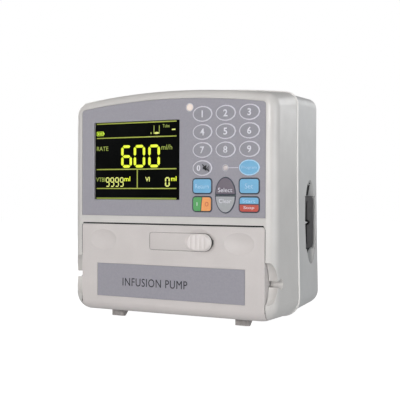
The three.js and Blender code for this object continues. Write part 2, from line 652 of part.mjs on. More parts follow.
function rearHousing() {
  const { back, backFillet, seam, wall } = CASE;
  const envelope = rearEnvelope(0, seam + FIT, back, backFillet);
  const { left, right, front, wall: lining } = CHANNEL;
  let made = envelope.subtract(rearEnvelope(wall, seam, back - wall, backFillet));
  const rib = box(left - lining, right + lining, front - lining, FAR, 0, FAR);
  const block = box(84, FAR, 74, 117, 48, 140);
  made = made.add(rib.add(block).intersect(envelope));
  made = made.subtract(box(left, right, front, FAR, -5, FAR));
  made = made.subtract(ellipsoid([DISH.x, DISH.y, DISH.z], [DISH.radiusX, DISH.radiusY,
    DISH.radiusZ], 32, 28));
  made = made.subtract(leverPocket()).add(leverPointer());
  made = made.subtract(rod('z', 1.8, LEVER.z - 33, LEVER.z + 33, LEVER.x, LEVER.y, 16));
  made = made.subtract(box(right - 1, 95, STEM.front - FIT, STEM.back + FIT,
    JAW.z - STEM.halfHeight - FIT, JAW.z + STEM.halfHeight + FIT));
  made = made.subtract(box(INLET.x - 13.5, INLET.x + 13.5, back - 20, back + 5,
    INLET.z - 10, INLET.z + 10));
  return made.subtract(ventSlots());
}

// A cam whose reach towards the jaw falls evenly as the lever opens, joined to the lever's hub.
function camOutline() {
  const { x, y, radius, reach, stroke } = LEVER;
  const fall = -stroke / (Math.PI / 2);
  const points = [];
  for (let i = 0; i <= 12; i++) {
    const opened = (i / 12) * (Math.PI / 2);
    const angle = Math.PI + opened;
    const support = reach + fall * opened;
    points.push([
      x + support * Math.cos(angle) - fall * Math.sin(angle),
      y + support * Math.sin(angle) + fall * Math.cos(angle),
    ]);
  }
  arc(points, x, y, radius, 1.5 * Math.PI, 2.5 * Math.PI, 12);
  return polygon(points);
}

function clampLever() {
  const { x, y, z, half, tip, radius } = LEVER;
  const plate = prismX(roundedRect(y - 9, tip, z - half, z + half, 5), x - radius, x + radius, 6)
    .subtract(box(0, FAR, 0, y, 0, FAR));
  const hub = rod('z', radius, z - half, z + half, x, y, 24);
  const pad = prismX(roundedRect(y + 2, tip - 3, z - half + 4, z + half - 4, 3), x + 3, x + radius + 0.9, 4);
  let made = plate.add(hub).add(prismZ(camOutline(), z - 18, z + 18)).add(pad);
  const notch = polygon([[y - 9, z - 2.4], [y + 5, z - 2.4], [y + 9.5, z - 0.6],
    [y + 9.5, z + 0.6], [y + 5, z + 2.4], [y - 9, z + 2.4]]);
  made = made.subtract(prismX(notch, 0, FAR));
  return made.subtract(rod('z', 1.8, z - 40, z + 40, x, y, 16));
}

function clampJaw() {
  const { face, plate, z } = JAW;
  const head = prismZ(polygon([[face, 84], [face + 2.5, 95], [face, 106], [face + 2, 108],
    [face + plate, 108], [face + plate, 82], [face + 2, 82]]), z - 22, z + 22);
  const stem = box(face + plate - 1, LEVER.x - LEVER.reach - FIT, STEM.front, STEM.back,
    z - STEM.halfHeight, z + STEM.halfHeight);
  return head.add(stem);
}

function polePad() {
  const { left } = CHANNEL;
  const outline = polygon([[left + FIT, 84], [left + 4, 84], [left + 2.2, 95], [left + 4, 106],
    [left + FIT, 106]]);
  return prismZ(outline, JAW.z - 24, JAW.z + 24);
}

part('rear_housing', 'case_rear', rearHousing());
part('clamp_lever', 'dark', clampLever());
part('lever_pin', 'steel', rod('z', 1.5, LEVER.z - 32, LEVER.z + 32, LEVER.x, LEVER.y, 16));
part('clamp_jaw', 'dark', clampJaw());
part('pole_pad', 'rubber', polePad());

// ---------------------------------------------------------------- electronics and feet

function acInlet() {
  const { x, z, halfWidth, halfHeight, proud } = INLET;
  const { back } = CASE;
  let made = prismY(roundedRect(x - halfWidth, x + halfWidth, z - halfHeight, z + halfHeight, 2.5),
    back + FIT, back + proud, 4);
  made = made.add(box(x - 13.2, x + 13.2, back - 18, back + 0.5, z - 9.7, z + 9.7));
  made = made.subtract(box(x - 11, x + 11, back - 15, back + 5, z - 7.4, z + 7.4));
  for (const [dx, dz] of [[-7, -1.5], [0, 3], [7, -1.5]]) {
    made = made.add(box(x + dx - 1, x + dx + 1, back - 15.5, back - 2, z + dz - 2, z + dz + 2));
  }
  return made;
}

function frontFoot(side) {
  const y = FOOT.frontY;
  const top = CASE.bottom - FIT;
  const outline = polygon([[y, 0], [y + 3.5, 0], [y + 11, top], [y, top]]);
  return prismX(outline, side * FOOT.frontX - FOOT.halfWidth, side * FOOT.frontX + FOOT.halfWidth);
}

function rearFoot(side) {
  const y = FOOT.rearY;
  const low = rearInsets(y)[2];
  const high = rearInsets(y + 12)[2];
  const base = CASE.bottom - FIT;
  const outline = polygon([[y + 1, 0], [y + 11, 0], [y + 12, base + high], [y, base + low]]);
  return prismX(outline, side * FOOT.rearX - FOOT.halfWidth, side * FOOT.rearX + FOOT.halfWidth);
}

part('main_board', 'board', box(-92, 92, 34, 35.6, 110, 198));
part('power_supply', 'alloy', box(-98, -30, 60, 92, 66, 136));
part('battery_pack', 'battery', box(-96, -28, 56, 102, 144, 192));
part('ac_inlet', 'dark', acInlet());
for (const [end, side] of [['left', -1], ['right', 1]]) {
  part(`front_foot_${end}`, 'door', frontFoot(side));
  part(`rear_foot_${end}`, 'rubber', rearFoot(side));
}

group.position.y = -ORIGIN_Y;

export default group;
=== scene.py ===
"""The looks of the infusion pump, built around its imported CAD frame.

Pieces are laid out in millimetres as in the CAD: x to the right of someone facing the pump,
y from its front face towards its back, z from under its feet. TO_FRAME turns that into metres
in the row frame.
"""
from contextlib import contextmanager
import math

import bmesh
import bpy
from mathutils import Matrix, Vector


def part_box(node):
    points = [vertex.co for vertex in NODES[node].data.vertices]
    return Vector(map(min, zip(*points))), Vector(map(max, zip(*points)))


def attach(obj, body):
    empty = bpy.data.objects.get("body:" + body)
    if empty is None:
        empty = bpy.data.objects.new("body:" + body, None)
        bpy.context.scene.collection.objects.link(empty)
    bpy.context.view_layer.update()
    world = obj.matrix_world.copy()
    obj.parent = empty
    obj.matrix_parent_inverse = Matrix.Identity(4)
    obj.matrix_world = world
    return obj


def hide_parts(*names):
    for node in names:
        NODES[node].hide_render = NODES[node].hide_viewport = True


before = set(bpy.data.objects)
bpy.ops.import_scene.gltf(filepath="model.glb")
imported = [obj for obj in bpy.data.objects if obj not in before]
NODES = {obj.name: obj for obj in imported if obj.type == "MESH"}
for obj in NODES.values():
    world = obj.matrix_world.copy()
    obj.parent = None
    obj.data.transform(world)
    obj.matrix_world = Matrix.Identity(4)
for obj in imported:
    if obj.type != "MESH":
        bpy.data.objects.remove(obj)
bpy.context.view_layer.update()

MM = 0.001
TO_FRAME = Matrix.Translation((0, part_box("front_housing")[0].y, 0)) @ Matrix.Scale(MM, 4)


# ---- camera, light and stage

CAMERA_AT = Vector((381.4, -673.3, 121.0))
CAMERA_AZIMUTH, CAMERA_ELEVATION, CAMERA_ROLL = (math.radians(a) for a in (27.35, 0.42, 0.21))
CAMERA_LENS, SENSOR = 74.45, 36.0

# Lights stand on a ball of this radius in metres around a point in the middle of the pump.
LIT_POINT, LIGHT_DISTANCE = Vector((0, 0, 0.11)), 1.5
WHITE = (1, 1, 1)
# Each light: azimuth and elevation in degrees, level, size in metres and colour.
LIGHTS = {
    "right": (72, 4, 0.22, 0.5, (0.88, 0.95, 1.0)),
    "front": (12, 9, 0.43, 0.38, (1.0, 0.98, 0.965)),
    "crown": (15, 60, 0.17, 0.8, WHITE),
    "left": (-50, 8, 0.11, 0.6, WHITE),
    "back": (155, 20, 0.2, 0.8, WHITE),
    "back_left": (-120, 20, 0.3, 0.8, WHITE),
}
SKY_COLOUR = (0.98, 0.99, 1.0)
SKY_LOW, SKY_HIGH = {"height": -0.6, "level": 0.52}, {"height": 0.8, "level": 0.2}
DOME_RADIUS, FLOOR_RADIUS, FLOOR_DROP = 6, 3, 0.0002


def set_inputs(node, values):
    for name, value in values.items():
        node.inputs[name].default_value = value


def make_camera():
    data = bpy.data.cameras.new("camera")
    data.lens, data.sensor_width = CAMERA_LENS, SENSOR
    data.clip_start, data.clip_end = 0.01, 50
    camera = bpy.data.objects.new("camera", data)
    bpy.context.scene.collection.objects.link(camera)
    az, el, roll = CAMERA_AZIMUTH, CAMERA_ELEVATION, CAMERA_ROLL
    forward = Vector((-math.sin(az) * math.cos(el), math.cos(az) * math.cos(el), -math.sin(el)))
    right = Vector((math.cos(az), math.sin(az), 0))
    up = right.cross(forward)
    across = right * math.cos(roll) + up * math.sin(roll)
    above = up * math.cos(roll) - right * math.sin(roll)
    turn = Matrix((across, above, -forward)).transposed().to_4x4()
    camera.matrix_world = Matrix.Translation(TO_FRAME @ CAMERA_AT) @ turn
    bpy.context.scene.camera = camera


def area_light(name, azimuth, elevation, level, size, colour):
    """A round light around the pump; level is what it alone does to a white card facing it."""
    data = bpy.data.lights.new(name, "AREA")
    data.shape, data.size, data.color = "DISK", size, colour
    data.energy = level * (math.pi * LIGHT_DISTANCE) ** 2
    light = bpy.data.objects.new(name, data)
    bpy.context.scene.collection.objects.link(light)
    az, el = math.radians(azimuth), math.radians(elevation)
    away = Vector((math.sin(az) * math.cos(el), -math.cos(az) * math.cos(el), math.sin(el)))
    light.location = LIT_POINT + away * LIGHT_DISTANCE
    light.rotation_euler = (-away).to_track_quat("-Z", "Y").to_euler()


def emitter(name, colour, strength, diffuse=0.0):
    """A surface that gives off light and returns a part of what falls on it."""
    material = bpy.data.materials.new(name)
    material.use_nodes = True
    tree = material.node_tree
    shader = tree.nodes["Principled BSDF"]
    set_inputs(shader, {"Base Color": (diffuse, diffuse, diffuse, 1), "Roughness": 0.9,
                        "Specular IOR Level": 0.0, "Emission Color": (*colour, 1),
                        "Emission Strength": strength})
    return material


def make_stage():
    """A soft sky, a white dome and floor that only the camera sees, and the lights."""
    scene = bpy.context.scene
    scene.view_settings.view_transform = "Standard"
    world = bpy.data.worlds.new("studio")
    scene.world = world
    world.use_nodes = True
    tree = world.node_tree
    towards = tree.nodes.new("ShaderNodeTexCoord").outputs["Generated"]
    height = tree.nodes.new("ShaderNodeSeparateXYZ")
    tree.links.new(towards, height.inputs["Vector"])
    level = tree.nodes.new("ShaderNodeMapRange")
    set_inputs(level, {"From Min": SKY_LOW["height"], "From Max": SKY_HIGH["height"],
                       "To Min": SKY_LOW["level"], "To Max": SKY_HIGH["level"]})
    tree.links.new(height.outputs["Z"], level.inputs["Value"])
    background = tree.nodes["Background"]
    set_inputs(background, {"Color": (*SKY_COLOUR, 1)})
    tree.links.new(level.outputs["Result"], background.inputs["Strength"])

    bm = bmesh.new()
    bmesh.ops.create_icosphere(bm, subdivisions=5, radius=DOME_RADIUS)
    dome = new_object("backdrop", bm, in_mm=False)
    dome.data.materials.append(emitter("backdrop_white", WHITE, 1.0))
    dome.visible_diffuse = dome.visible_glossy = dome.visible_shadow = False

    bm = bmesh.new()
    bmesh.ops.create_circle(bm, cap_ends=True, segments=96, radius=FLOOR_RADIUS)
    floor = new_object("floor", bm, in_mm=False)
    floor.location.z = -FLOOR_DROP
    floor.data.materials.append(emitter("floor_white", WHITE, 0.94, 0.3))
    floor.visible_diffuse = floor.visible_glossy = False

    for name, values in LIGHTS.items():
        area_light(name, *values)


def new_object(name, bm, in_mm=True, smooth=40.0):
    """A new object from a bmesh, smooth but for edges sharper than the angle."""
    mesh = bpy.data.meshes.new(name)
    bm.normal_update()
    bm.to_mesh(mesh)
    bm.free()
    if in_mm:
        mesh.transform(TO_FRAME)
    mesh.shade_smooth()
    if smooth:
        mesh.set_sharp_from_angle(angle=math.radians(smooth))
    made = bpy.data.objects.new(name, mesh)
    bpy.context.scene.collection.objects.link(made)
    return made


# ---- materials

def linear(red, green, blue):
    """A colour given as screen values from 0 to 255, as linear light."""
    def one(value):
        value /= 255
        return value / 12.92 if value <= 0.04045 else ((value + 0.055) / 1.055) ** 2.4
    return tuple(one(v) for v in (red, green, blue))


# Nearly all of a noise texture's values lie in this range.
NOISE_RANGE = (0.3, 0.7)
# The sockets of a Mix node that carry colours.
MIX_FIRST, MIX_SECOND, MIX_RESULT = 6, 7, 2


class Nodes:
    """Short words for building a material's node tree."""

    def __init__(self, name):
        self.material = bpy.data.materials.new(name)
        self.material.use_nodes = True
        self.tree = self.material.node_tree
        self.shader = self.tree.nodes["Principled BSDF"]
        self.place = self.tree.nodes.new("ShaderNodeTexCoord").outputs["Object"]

    def link(self, source, target):
        self.tree.links.new(source, target)

    def feed(self, name, source):
        """Links a value to a socket of the surface."""
        self.link(source, self.shader.inputs[name])

    def noise(self, scale, detail=3.0, rough=0.5, stretch=None):
        node = self.tree.nodes.new("ShaderNodeTexNoise")
        set_inputs(node, {"Scale": scale, "Detail": detail, "Roughness": rough})
        source = self.place
        if stretch:
            mapping = self.tree.nodes.new("ShaderNodeMapping")
            set_inputs(mapping, {"Scale": stretch})
            self.link(source, mapping.inputs["Vector"])
            source = mapping.outputs["Vector"]
        self.link(source, node.inputs["Vector"])
        return node.outputs["Fac"]

    def cells(self, scale):
        node = self.tree.nodes.new("ShaderNodeTexVoronoi")
        set_inputs(node, {"Scale": scale})
        self.link(self.place, node.inputs["Vector"])
        return node.outputs["Distance"]

    def ramp(self, source, low, high):
        node = self.tree.nodes.new("ShaderNodeValToRGB")
        first, last = node.color_ramp.elements
        first.position, last.position = NOISE_RANGE
        first.color, last.color = (*low, 1), (*high, 1)
        self.link(source, node.inputs["Fac"])
        return node.outputs["Color"]

    def spread(self, source, low, high):
        node = self.tree.nodes.new("ShaderNodeMapRange")
        set_inputs(node, {"From Min": NOISE_RANGE[0], "From Max": NOISE_RANGE[1], "To Min": low,
                          "To Max": high})
        self.link(source, node.inputs["Value"])
        return node.outputs["Result"]

    def mix(self, factor, one, other):
        node = self.tree.nodes.new("ShaderNodeMix")
        node.data_type = "RGBA"
        sockets = (node.inputs["Factor"], node.inputs[MIX_FIRST], node.inputs[MIX_SECOND])
        for socket, value in zip(sockets, (factor, one, other)):
            if isinstance(value, tuple):
                socket.default_value = (*value, 1)
            elif isinstance(value, float):
                socket.default_value = value
            else:
                self.link(value, socket)
        return node.outputs[MIX_RESULT]

    def bump(self, source, strength, distance, under=None):
        node = self.tree.nodes.new("ShaderNodeBump")
        set_inputs(node, {"Strength": strength, "Distance": distance})
        self.link(source, node.inputs["Height"])
        if under is not None:
            self.link(under, node.inputs["Normal"])
        return node.outputs["Normal"]

    def worn_edges(self, radius):
        """1 on edges and 0 on flats, from how far a rounded normal leans from the true one."""
        bevel = self.tree.nodes.new("ShaderNodeBevel")
        bevel.samples = 4
        set_inputs(bevel, {"Radius": radius})
        geometry = self.tree.nodes.new("ShaderNodeNewGeometry")
        dot = self.tree.nodes.new("ShaderNodeVectorMath")
        dot.operation = "DOT_PRODUCT"
        self.link(bevel.outputs["Normal"], dot.inputs[0])
        self.link(geometry.outputs["Normal"], dot.inputs[1])
        remap = self.tree.nodes.new("ShaderNodeMapRange")
        set_inputs(remap, {"From Min": 0.99, "From Max": 0.88})
        self.link(dot.outputs["Value"], remap.inputs["Value"])
        return remap.outputs["Result"]


def scaled(colour, factor):
    return tuple(min(1.0, c * factor) for c in colour)


def plastic(name, colour, rough=0.5, mottle=0.05, wear_and_highlight=0.0):
    """Moulded plastic: fine spark-eroded grain, faint mottling, and edges lightened, partly as wear from
    handling and partly as a painted highlight.
    """
    n = Nodes(name)
    base = n.ramp(n.noise(38, 4), scaled(colour, 1 - mottle), scaled(colour, 1 + mottle))
    fine = n.ramp(n.noise(900, 2), scaled(colour, 0.97), scaled(colour, 1.03))
    tone = n.mix(0.35, base, fine)
    roughness = n.spread(n.noise(120, 3), rough - 0.05, rough + 0.06)
    if wear_and_highlight:
        # Lighter edges: partly wear, partly a painted highlight where edges catch the light.
        edge = n.worn_edges(0.0009)
        tone = n.mix(edge, tone, scaled(colour, 1 + wear_and_highlight))
    n.feed("Base Color", tone)
    n.feed("Roughness", roughness)
    grain = n.bump(n.noise(2600, 2, 0.6), 0.25, 0.00006)
    n.feed("Normal", n.bump(n.noise(14, 2), 0.06, 0.0012, grain))
    return n.material


def printed(name, colour, rough=0.42, emission=0.0):
    """Screen-printed film: an even colour with the slight orange peel of ink under a matt film."""
    n = Nodes(name)
    tone = n.ramp(n.noise(700, 3, 0.6), scaled(colour, 0.955), scaled(colour, 1.045))
    n.feed("Base Color", tone)
    n.feed("Roughness", n.spread(n.noise(90, 2), rough - 0.04, rough + 0.05))
    n.feed("Normal", n.bump(n.noise(1500, 2), 0.12, 0.00004))
    if emission:
        set_inputs(n.shader, {"Emission Color": (*colour, 1), "Emission Strength": emission})
    return n.material


def metal(name, colour, rough, stretch=(1, 1, 1)):
    """Brushed or machined metal, with its scratches drawn out along one axis."""
    n = Nodes(name)
    lines = n.noise(400, 4, 0.6, stretch)
    n.feed("Base Color", n.ramp(lines, scaled(colour, 0.86), scaled(colour, 1.1)))
    n.feed("Roughness", n.spread(lines, rough - 0.08, rough + 0.1))
    n.feed("Normal", n.bump(lines, 0.15, 0.00003))
    set_inputs(n.shader, {"Metallic": 1.0})
    return n.material


def cast(name, colour, rough=0.5):
    """Cast alloy with a coarse skin."""
    n = Nodes(name)
    skin = n.noise(900, 4, 0.65)
    n.feed("Base Color", n.ramp(skin, scaled(colour, 0.8), scaled(colour, 1.1)))
    n.feed("Roughness", n.spread(n.noise(200, 3), rough - 0.1, rough + 0.1))
    n.feed("Normal", n.bump(skin, 0.35, 0.00012))
    set_inputs(n.shader, {"Metallic": 0.85})
    return n.material


def rubber(name, colour, rough=0.78):
    """Moulded rubber with a pebbled surface."""
    n = Nodes(name)
    tone = n.ramp(n.noise(300, 4), scaled(colour, 0.8), scaled(colour, 1.25))
    n.feed("Base Color", tone)
    n.feed("Roughness", n.spread(n.noise(60, 3), rough - 0.08, rough + 0.08))
    n.feed("Normal", n.bump(n.cells(2200), 0.3, 0.00008))
    set_inputs(n.shader, {"Specular IOR Level": 0.35})
    return n.material


def circuit(name, colour):
    """A printed circuit board: solder mask over copper tracks on a square layout."""
    n = Nodes(name)
    tracks = n.tree.nodes.new("ShaderNodeTexBrick")
    turn = n.tree.nodes.new("ShaderNodeMapping")
    set_inputs(turn, {"Rotation": (math.pi / 2, 0, 0)})
    n.link(n.place, turn.inputs["Vector"])
    n.link(turn.outputs["Vector"], tracks.inputs["Vector"])
    set_inputs(tracks, {"Scale": 130, "Mortar Size": 0.03, "Color1": (*colour, 1),
                        "Color2": (*scaled(colour, 0.8), 1), "Mortar": (*scaled(colour, 1.9), 1)})
    n.feed("Base Color", tracks.outputs["Color"])
    set_inputs(n.shader, {"Roughness": 0.35})
    n.feed("Normal", n.bump(tracks.outputs["Fac"], 0.2, 0.00005))
    return n.material


def glow(name, colour, strength):
    """A lit segment of the display."""
    n = Nodes(name)
    shine = n.ramp(n.noise(260, 2), scaled(colour, 0.88), colour)
    n.feed("Emission Color", shine)
    set_inputs(n.shader, {"Base Color": (*scaled(colour, 0.5), 1), "Emission Strength": strength,
                          "Roughness": 0.3})
    return n.material


def glass_black(name):
    """The near black window over the display."""
    n = Nodes(name)
    tone = n.ramp(n.noise(30, 2), (0.002, 0.0022, 0.002), (0.004, 0.0045, 0.0045))
    n.feed("Base Color", tone)
    n.feed("Roughness", n.spread(n.noise(60, 3), 0.16, 0.24))
    set_inputs(n.shader, {"Specular IOR Level": 0.03})
    return n.material


CREAM = linear(203, 200, 197)
REAR_GREY = linear(196, 195, 194)
DOOR_TONE = linear(203, 197, 195)
PANEL_GREY = linear(151, 149, 157)

# Printed inks and films, as screen colours.
PRINTED = {
    "ring_light": (208, 206, 215), "ink_light": (222, 221, 229), "ink_dark": (30, 31, 40),
    "ink_black": (32, 32, 36), "ink_blue_pale": (178, 212, 238), "key_fill": (145, 144, 151),
    "key_blue": (116, 175, 211), "key_edge": (58, 62, 78), "key_green": (88, 163, 98),
    "key_orange": (232, 158, 96), "key_red": (190, 84, 70), "key_dark": (112, 104, 114),
    "key_pale": (163, 165, 168),
}
# What is lit on the display: screen colour and strength.
GLOWING = {
    "lit": ((214, 228, 52), 1.0),
    "lit_pale": ((214, 220, 120), 0.85),
    "lit_dim": ((132, 146, 62), 0.75),
    "lit_line": ((150, 160, 66), 0.8),
    "lit_green": ((190, 222, 60), 0.95),
}

M = {
    "case_front": plastic("case_front", CREAM, 0.37, wear_and_highlight=0.06),
    "case_rear": plastic("case_rear", REAR_GREY, 0.44, wear_and_highlight=0.06),
    # The seam bead in a lighter copy of the case plastic: a painted highlight.
    "bead_painted_highlight": plastic("bead_painted_highlight", scaled(CREAM, 1.32), 0.34),
    "door": plastic("door", DOOR_TONE, 0.46, wear_and_highlight=0.06),
    "grip": plastic("grip", scaled(DOOR_TONE, 1.16), 0.34),
    "panel": printed("panel", PANEL_GREY),
    "screen": glass_black("screen"),
    "lamp": printed("lamp", linear(236, 222, 212), 0.3, 0.08),
    "led": printed("led", linear(206, 196, 196), 0.3, 0.05),
    "dark": plastic("dark", linear(50, 48, 50), 0.5, wear_and_highlight=0.5, mottle=0.1),
    "black": plastic("black", linear(38, 38, 41), 0.45, wear_and_highlight=0.4, mottle=0.1),
    "white": plastic("white", linear(228, 228, 224), 0.4),
    # Near black for the door's joint: painted shade in the gap.
    "gap": plastic("gap", linear(30, 29, 30), 0.8),
    # Dark grey round the latch plate: painted shadow in its gap.
    "seal": plastic("seal", linear(84, 80, 78), 0.8),
    "shade": plastic("shade", linear(48, 46, 47), 0.6),
    "steel": metal("steel", (0.56, 0.57, 0.58), 0.32, (1, 12, 12)),
    "steel_turned": metal("steel_turned", (0.6, 0.6, 0.61), 0.28, (14, 1, 1)),
    "screw": metal("screw", (0.5, 0.5, 0.5), 0.35),
    "alloy": cast("alloy", (0.62, 0.63, 0.65)),
    "rubber": rubber("rubber", linear(44, 42, 43)),
    "foot": rubber("foot", linear(152, 147, 145)),
    "board": circuit("board", (0.02, 0.12, 0.05)),
    "battery": plastic("battery", linear(52, 96, 160), 0.35),
    "wire_red": plastic("wire_red", linear(176, 44, 40), 0.4),
    "wire_blue": plastic("wire_blue", linear(52, 88, 160), 0.4),
    "wire_yellow": plastic("wire_yellow", linear(212, 184, 60), 0.4),
}
M.update({name: printed(name, linear(*tone)) for name, tone in PRINTED.items()})
M.update({name: glow(name, linear(*tone), strength) for name, (tone, strength) in GLOWING.items()})


# ---- mesh building

def place(made, body, material, replaces=()):
    """Gives a piece its material or materials and its body, and hides the CAD parts that it stands for."""
    names = [material] if isinstance(material, str) else material
    for name in names:
        made.data.materials.append(M[name])
    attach(made, body)
    if replaces:
        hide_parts(*replaces)


@contextmanager
def piece(name, body, material, slot=None, replaces=(), smooth=40.0):
    """A piece whose mesh is built in the with block."""
    bm = bmesh.new()
    yield bm
    place(new_object(name, bm, smooth=smooth), body, material, replaces)


def skin(bm, a, b):
    """Quads between two rings of vertices."""
    count = len(a)
    return [bm.faces.new((a[i], b[i], b[(i + 1) % count], a[(i + 1) % count])) for i in range(count)]


def loop_mesh(bm, loops):
    """Skins a row of equal-length point loops, with both ends closed; returns the new faces in rows."""
    rings = [[bm.verts.new(p) for p in loop] for loop in loops]
    rows = []
    for a, b in zip(rings, rings[1:]):
        rows.append(skin(bm, a, b))
    bm.faces.new(rings[0])
    bm.faces.new(list(reversed(rings[-1])))
    return rows


def hoop_mesh(bm, loops):
    """Skins a row of equal-length point loops whose last meets the first, as in a tyre."""
    rings = [[bm.verts.new(p) for p in loop] for loop in loops]
    for a, b in zip(rings, rings[1:] + rings[:1]):
        skin(bm, a, b)


def fix_normals(bm):
    """Turns all faces outwards."""
    bmesh.ops.recalc_face_normals(bm, faces=bm.faces)


def circle(radius, count):
    return [(radius * math.cos(2 * math.pi * i / count),
             radius * math.sin(2 * math.pi * i / count)) for i in range(count)]


AXES = {
    "x": lambda a, b, c: (c, a, b),
    "y": lambda a, b, c: (a, c, b),
    "z": lambda a, b, c: (a, b, c),
}


def turned(bm, profile, axis, centre, count):
    """A solid of revolution: profile is [(along, radius), ...] about an axis through centre."""
    cx, cy, cz = centre
    put = AXES[axis]
    loops = []
    for along, radius in profile:
        loop = []
        for a, b in circle(max(radius, 1e-3), count):
            x, y, z = put(a, b, along)
            loop.append((cx + x, cy + y, cz + z))
        loops.append(loop)
    loop_mesh(bm, loops)
    fix_normals(bm)


def box(bm, x0, x1, y0, y1, z0, z1, bevel=0.0, segments=2):
    made = bmesh.ops.create_cube(bm, size=1)
    size = Vector((x1 - x0, y1 - y0, z1 - z0))
    centre = Vector((x0 + x1, y0 + y1, z0 + z1)) / 2
    for v in made["verts"]:
        v.co = Vector((v.co.x * size.x, v.co.y * size.y, v.co.z * size.z)) + centre
    if bevel:
        edges = list({e for v in made["verts"] for e in v.link_edges})
        bmesh.ops.bevel(bm, geom=edges, offset=bevel, segments=segments, profile=0.5, affect="EDGES")


def tube(bm, path, radius, count=8):
    """A round wire along a path of points, with its section kept from twisting."""
    points = [Vector(p) for p in path]
    loops = []
    side = None
    for before, p, after in zip(points[:1] + points, points, points[1:] + points[-1:]):
        along = (after - before).normalized()
        if side is None:
            side = along.orthogonal().normalized()
        side = (side - along * side.dot(along)).normalized()
        other = along.cross(side)
        loops.append([p + side * a + other * b for a, b in circle(radius, count)])
    loop_mesh(bm, loops)
    fix_normals(bm)


def helix(centre, radius, length, turns, axis="y", steps=14):
    """Points of a compression spring with closed ends, from centre along an axis."""
    cx, cy, cz = centre
    put = AXES[axis]
    total = int(turns * steps)
    edge = 0.9 / turns
    points = []
    for i in range(total + 1):
        t = i / total
        along = min(1, max(0, (t - edge) / (1 - 2 * edge)))
        angle = 2 * math.pi * turns * t
        x, y, z = put(radius * math.cos(angle), radius * math.sin(angle), along * length)
        points.append((cx + x, cy + y, cz + z))
    return points


def smooth_path(points, steps=8):
    """A Catmull-Rom curve through the points."""
    p = [Vector(q) for q in points]
    p = [p[0] * 2 - p[1]] + p + [p[-1] * 2 - p[-2]]
    made = []
    for i in range(1, len(p) - 2):
        a, b, c, d = p[i - 1:i + 3]
        for s in range(steps):
            t = s / steps
            made.append(0.5 * (2 * b + (c - a) * t + (2 * a - 5 * b + 4 * c - d) * t * t
                               + (3 * b - a - 3 * c + d) * t ** 3))
    made.append(p[-2])
    return made


def screw(bm, centre, axis, sign, radius=2.2, height=1.0, sink=0.0, socket="cross"):
    """A pan-head screw whose head faces sign along axis, with a cross or hexagon recess."""
    cx, cy, cz = centre
    put = AXES[axis]
    count = 24
    profile = [(-0.6, radius * 0.98), (0, radius), (height * 0.55, radius * 0.97),
               (height * 0.85, radius * 0.8), (height, radius * 0.55)]
    hole = {"cross": 0.32, "hex": 0.45}[socket] * radius
    shape = []
    for i in range(count):
        angle = 2 * math.pi * i / count
        if socket == "hex":
            sector = (angle % (math.pi / 3)) - math.pi / 6
            r = hole * math.cos(math.pi / 6) / math.cos(sector)
        else:
            r = hole * (0.42 + 0.95 * abs(math.cos(2 * angle)) ** 3)
        shape.append((r * math.cos(angle), r * math.sin(angle)))
    loops = [[(x, y, along) for x, y in circle(r, count)] for along, r in profile]
    loops.append([(x, y, height) for x, y in shape])
    loops.append([(x * 0.8, y * 0.8, height * 0.25) for x, y in shape])
    placed = []
    for loop in loops:
        row = []
        for a, b, along in loop:
            x, y, z = put(a, b, sign * (along - sink))
            row.append((cx + x, cy + y, cz + z))
        placed.append(row)
    loop_mesh(bm, placed)


def screws(name, body, centres, axis, sign, **style):
    bm = bmesh.new()
    for centre in centres:
        screw(bm, centre, axis, sign, **style)
    fix_normals(bm)
    place(new_object(name, bm), body, "screw")


# ---- outlines in the front plane

def arc(x, z, radius, start, turn, steps):
    """Points in (x, z) from an angle on, through turn degrees."""
    angles = [math.radians(start + turn * i / steps) for i in range(steps + 1)]
    return [(x + radius * math.cos(angle), z + radius * math.sin(angle)) for angle in angles]


def ellipse_outline(x, z, rx, rz, count=64):
    angles = [2 * math.pi * i / count for i in range(count)]
    return [(x + rx * math.cos(angle), z + rz * math.sin(angle)) for angle in angles]


def rounded_outline(x, z, rx, rz, corner, per=8):
    points = []
    for cx, cz, start in ((1, 1, 0), (-1, 1, 90), (-1, -1, 180), (1, -1, 270)):
        points += arc(x + cx * (rx - corner), z + cz * (rz - corner), corner, start, 90, per)
    return points


def half_oval_outline(x, z, rx, rz, upper, split, count=40, flat=10):
    """Half of an upright oval, cut flat a little off its middle."""
    start = math.asin(split / rz)
    turn = 0 if upper else math.pi
    points = []
    for i in range(count + 1):
        angle = turn + start + (math.pi - 2 * start) * i / count
        points.append((x + rx * math.cos(angle), z + rz * math.sin(angle)))
    (x1, z1), (x0, z0) = points[-1], points[0]
    points += [(x1 + (x0 - x1) * i / flat, z1 + (z0 - z1) * i / flat) for i in range(1, flat)]
    return points


# ---- lettering

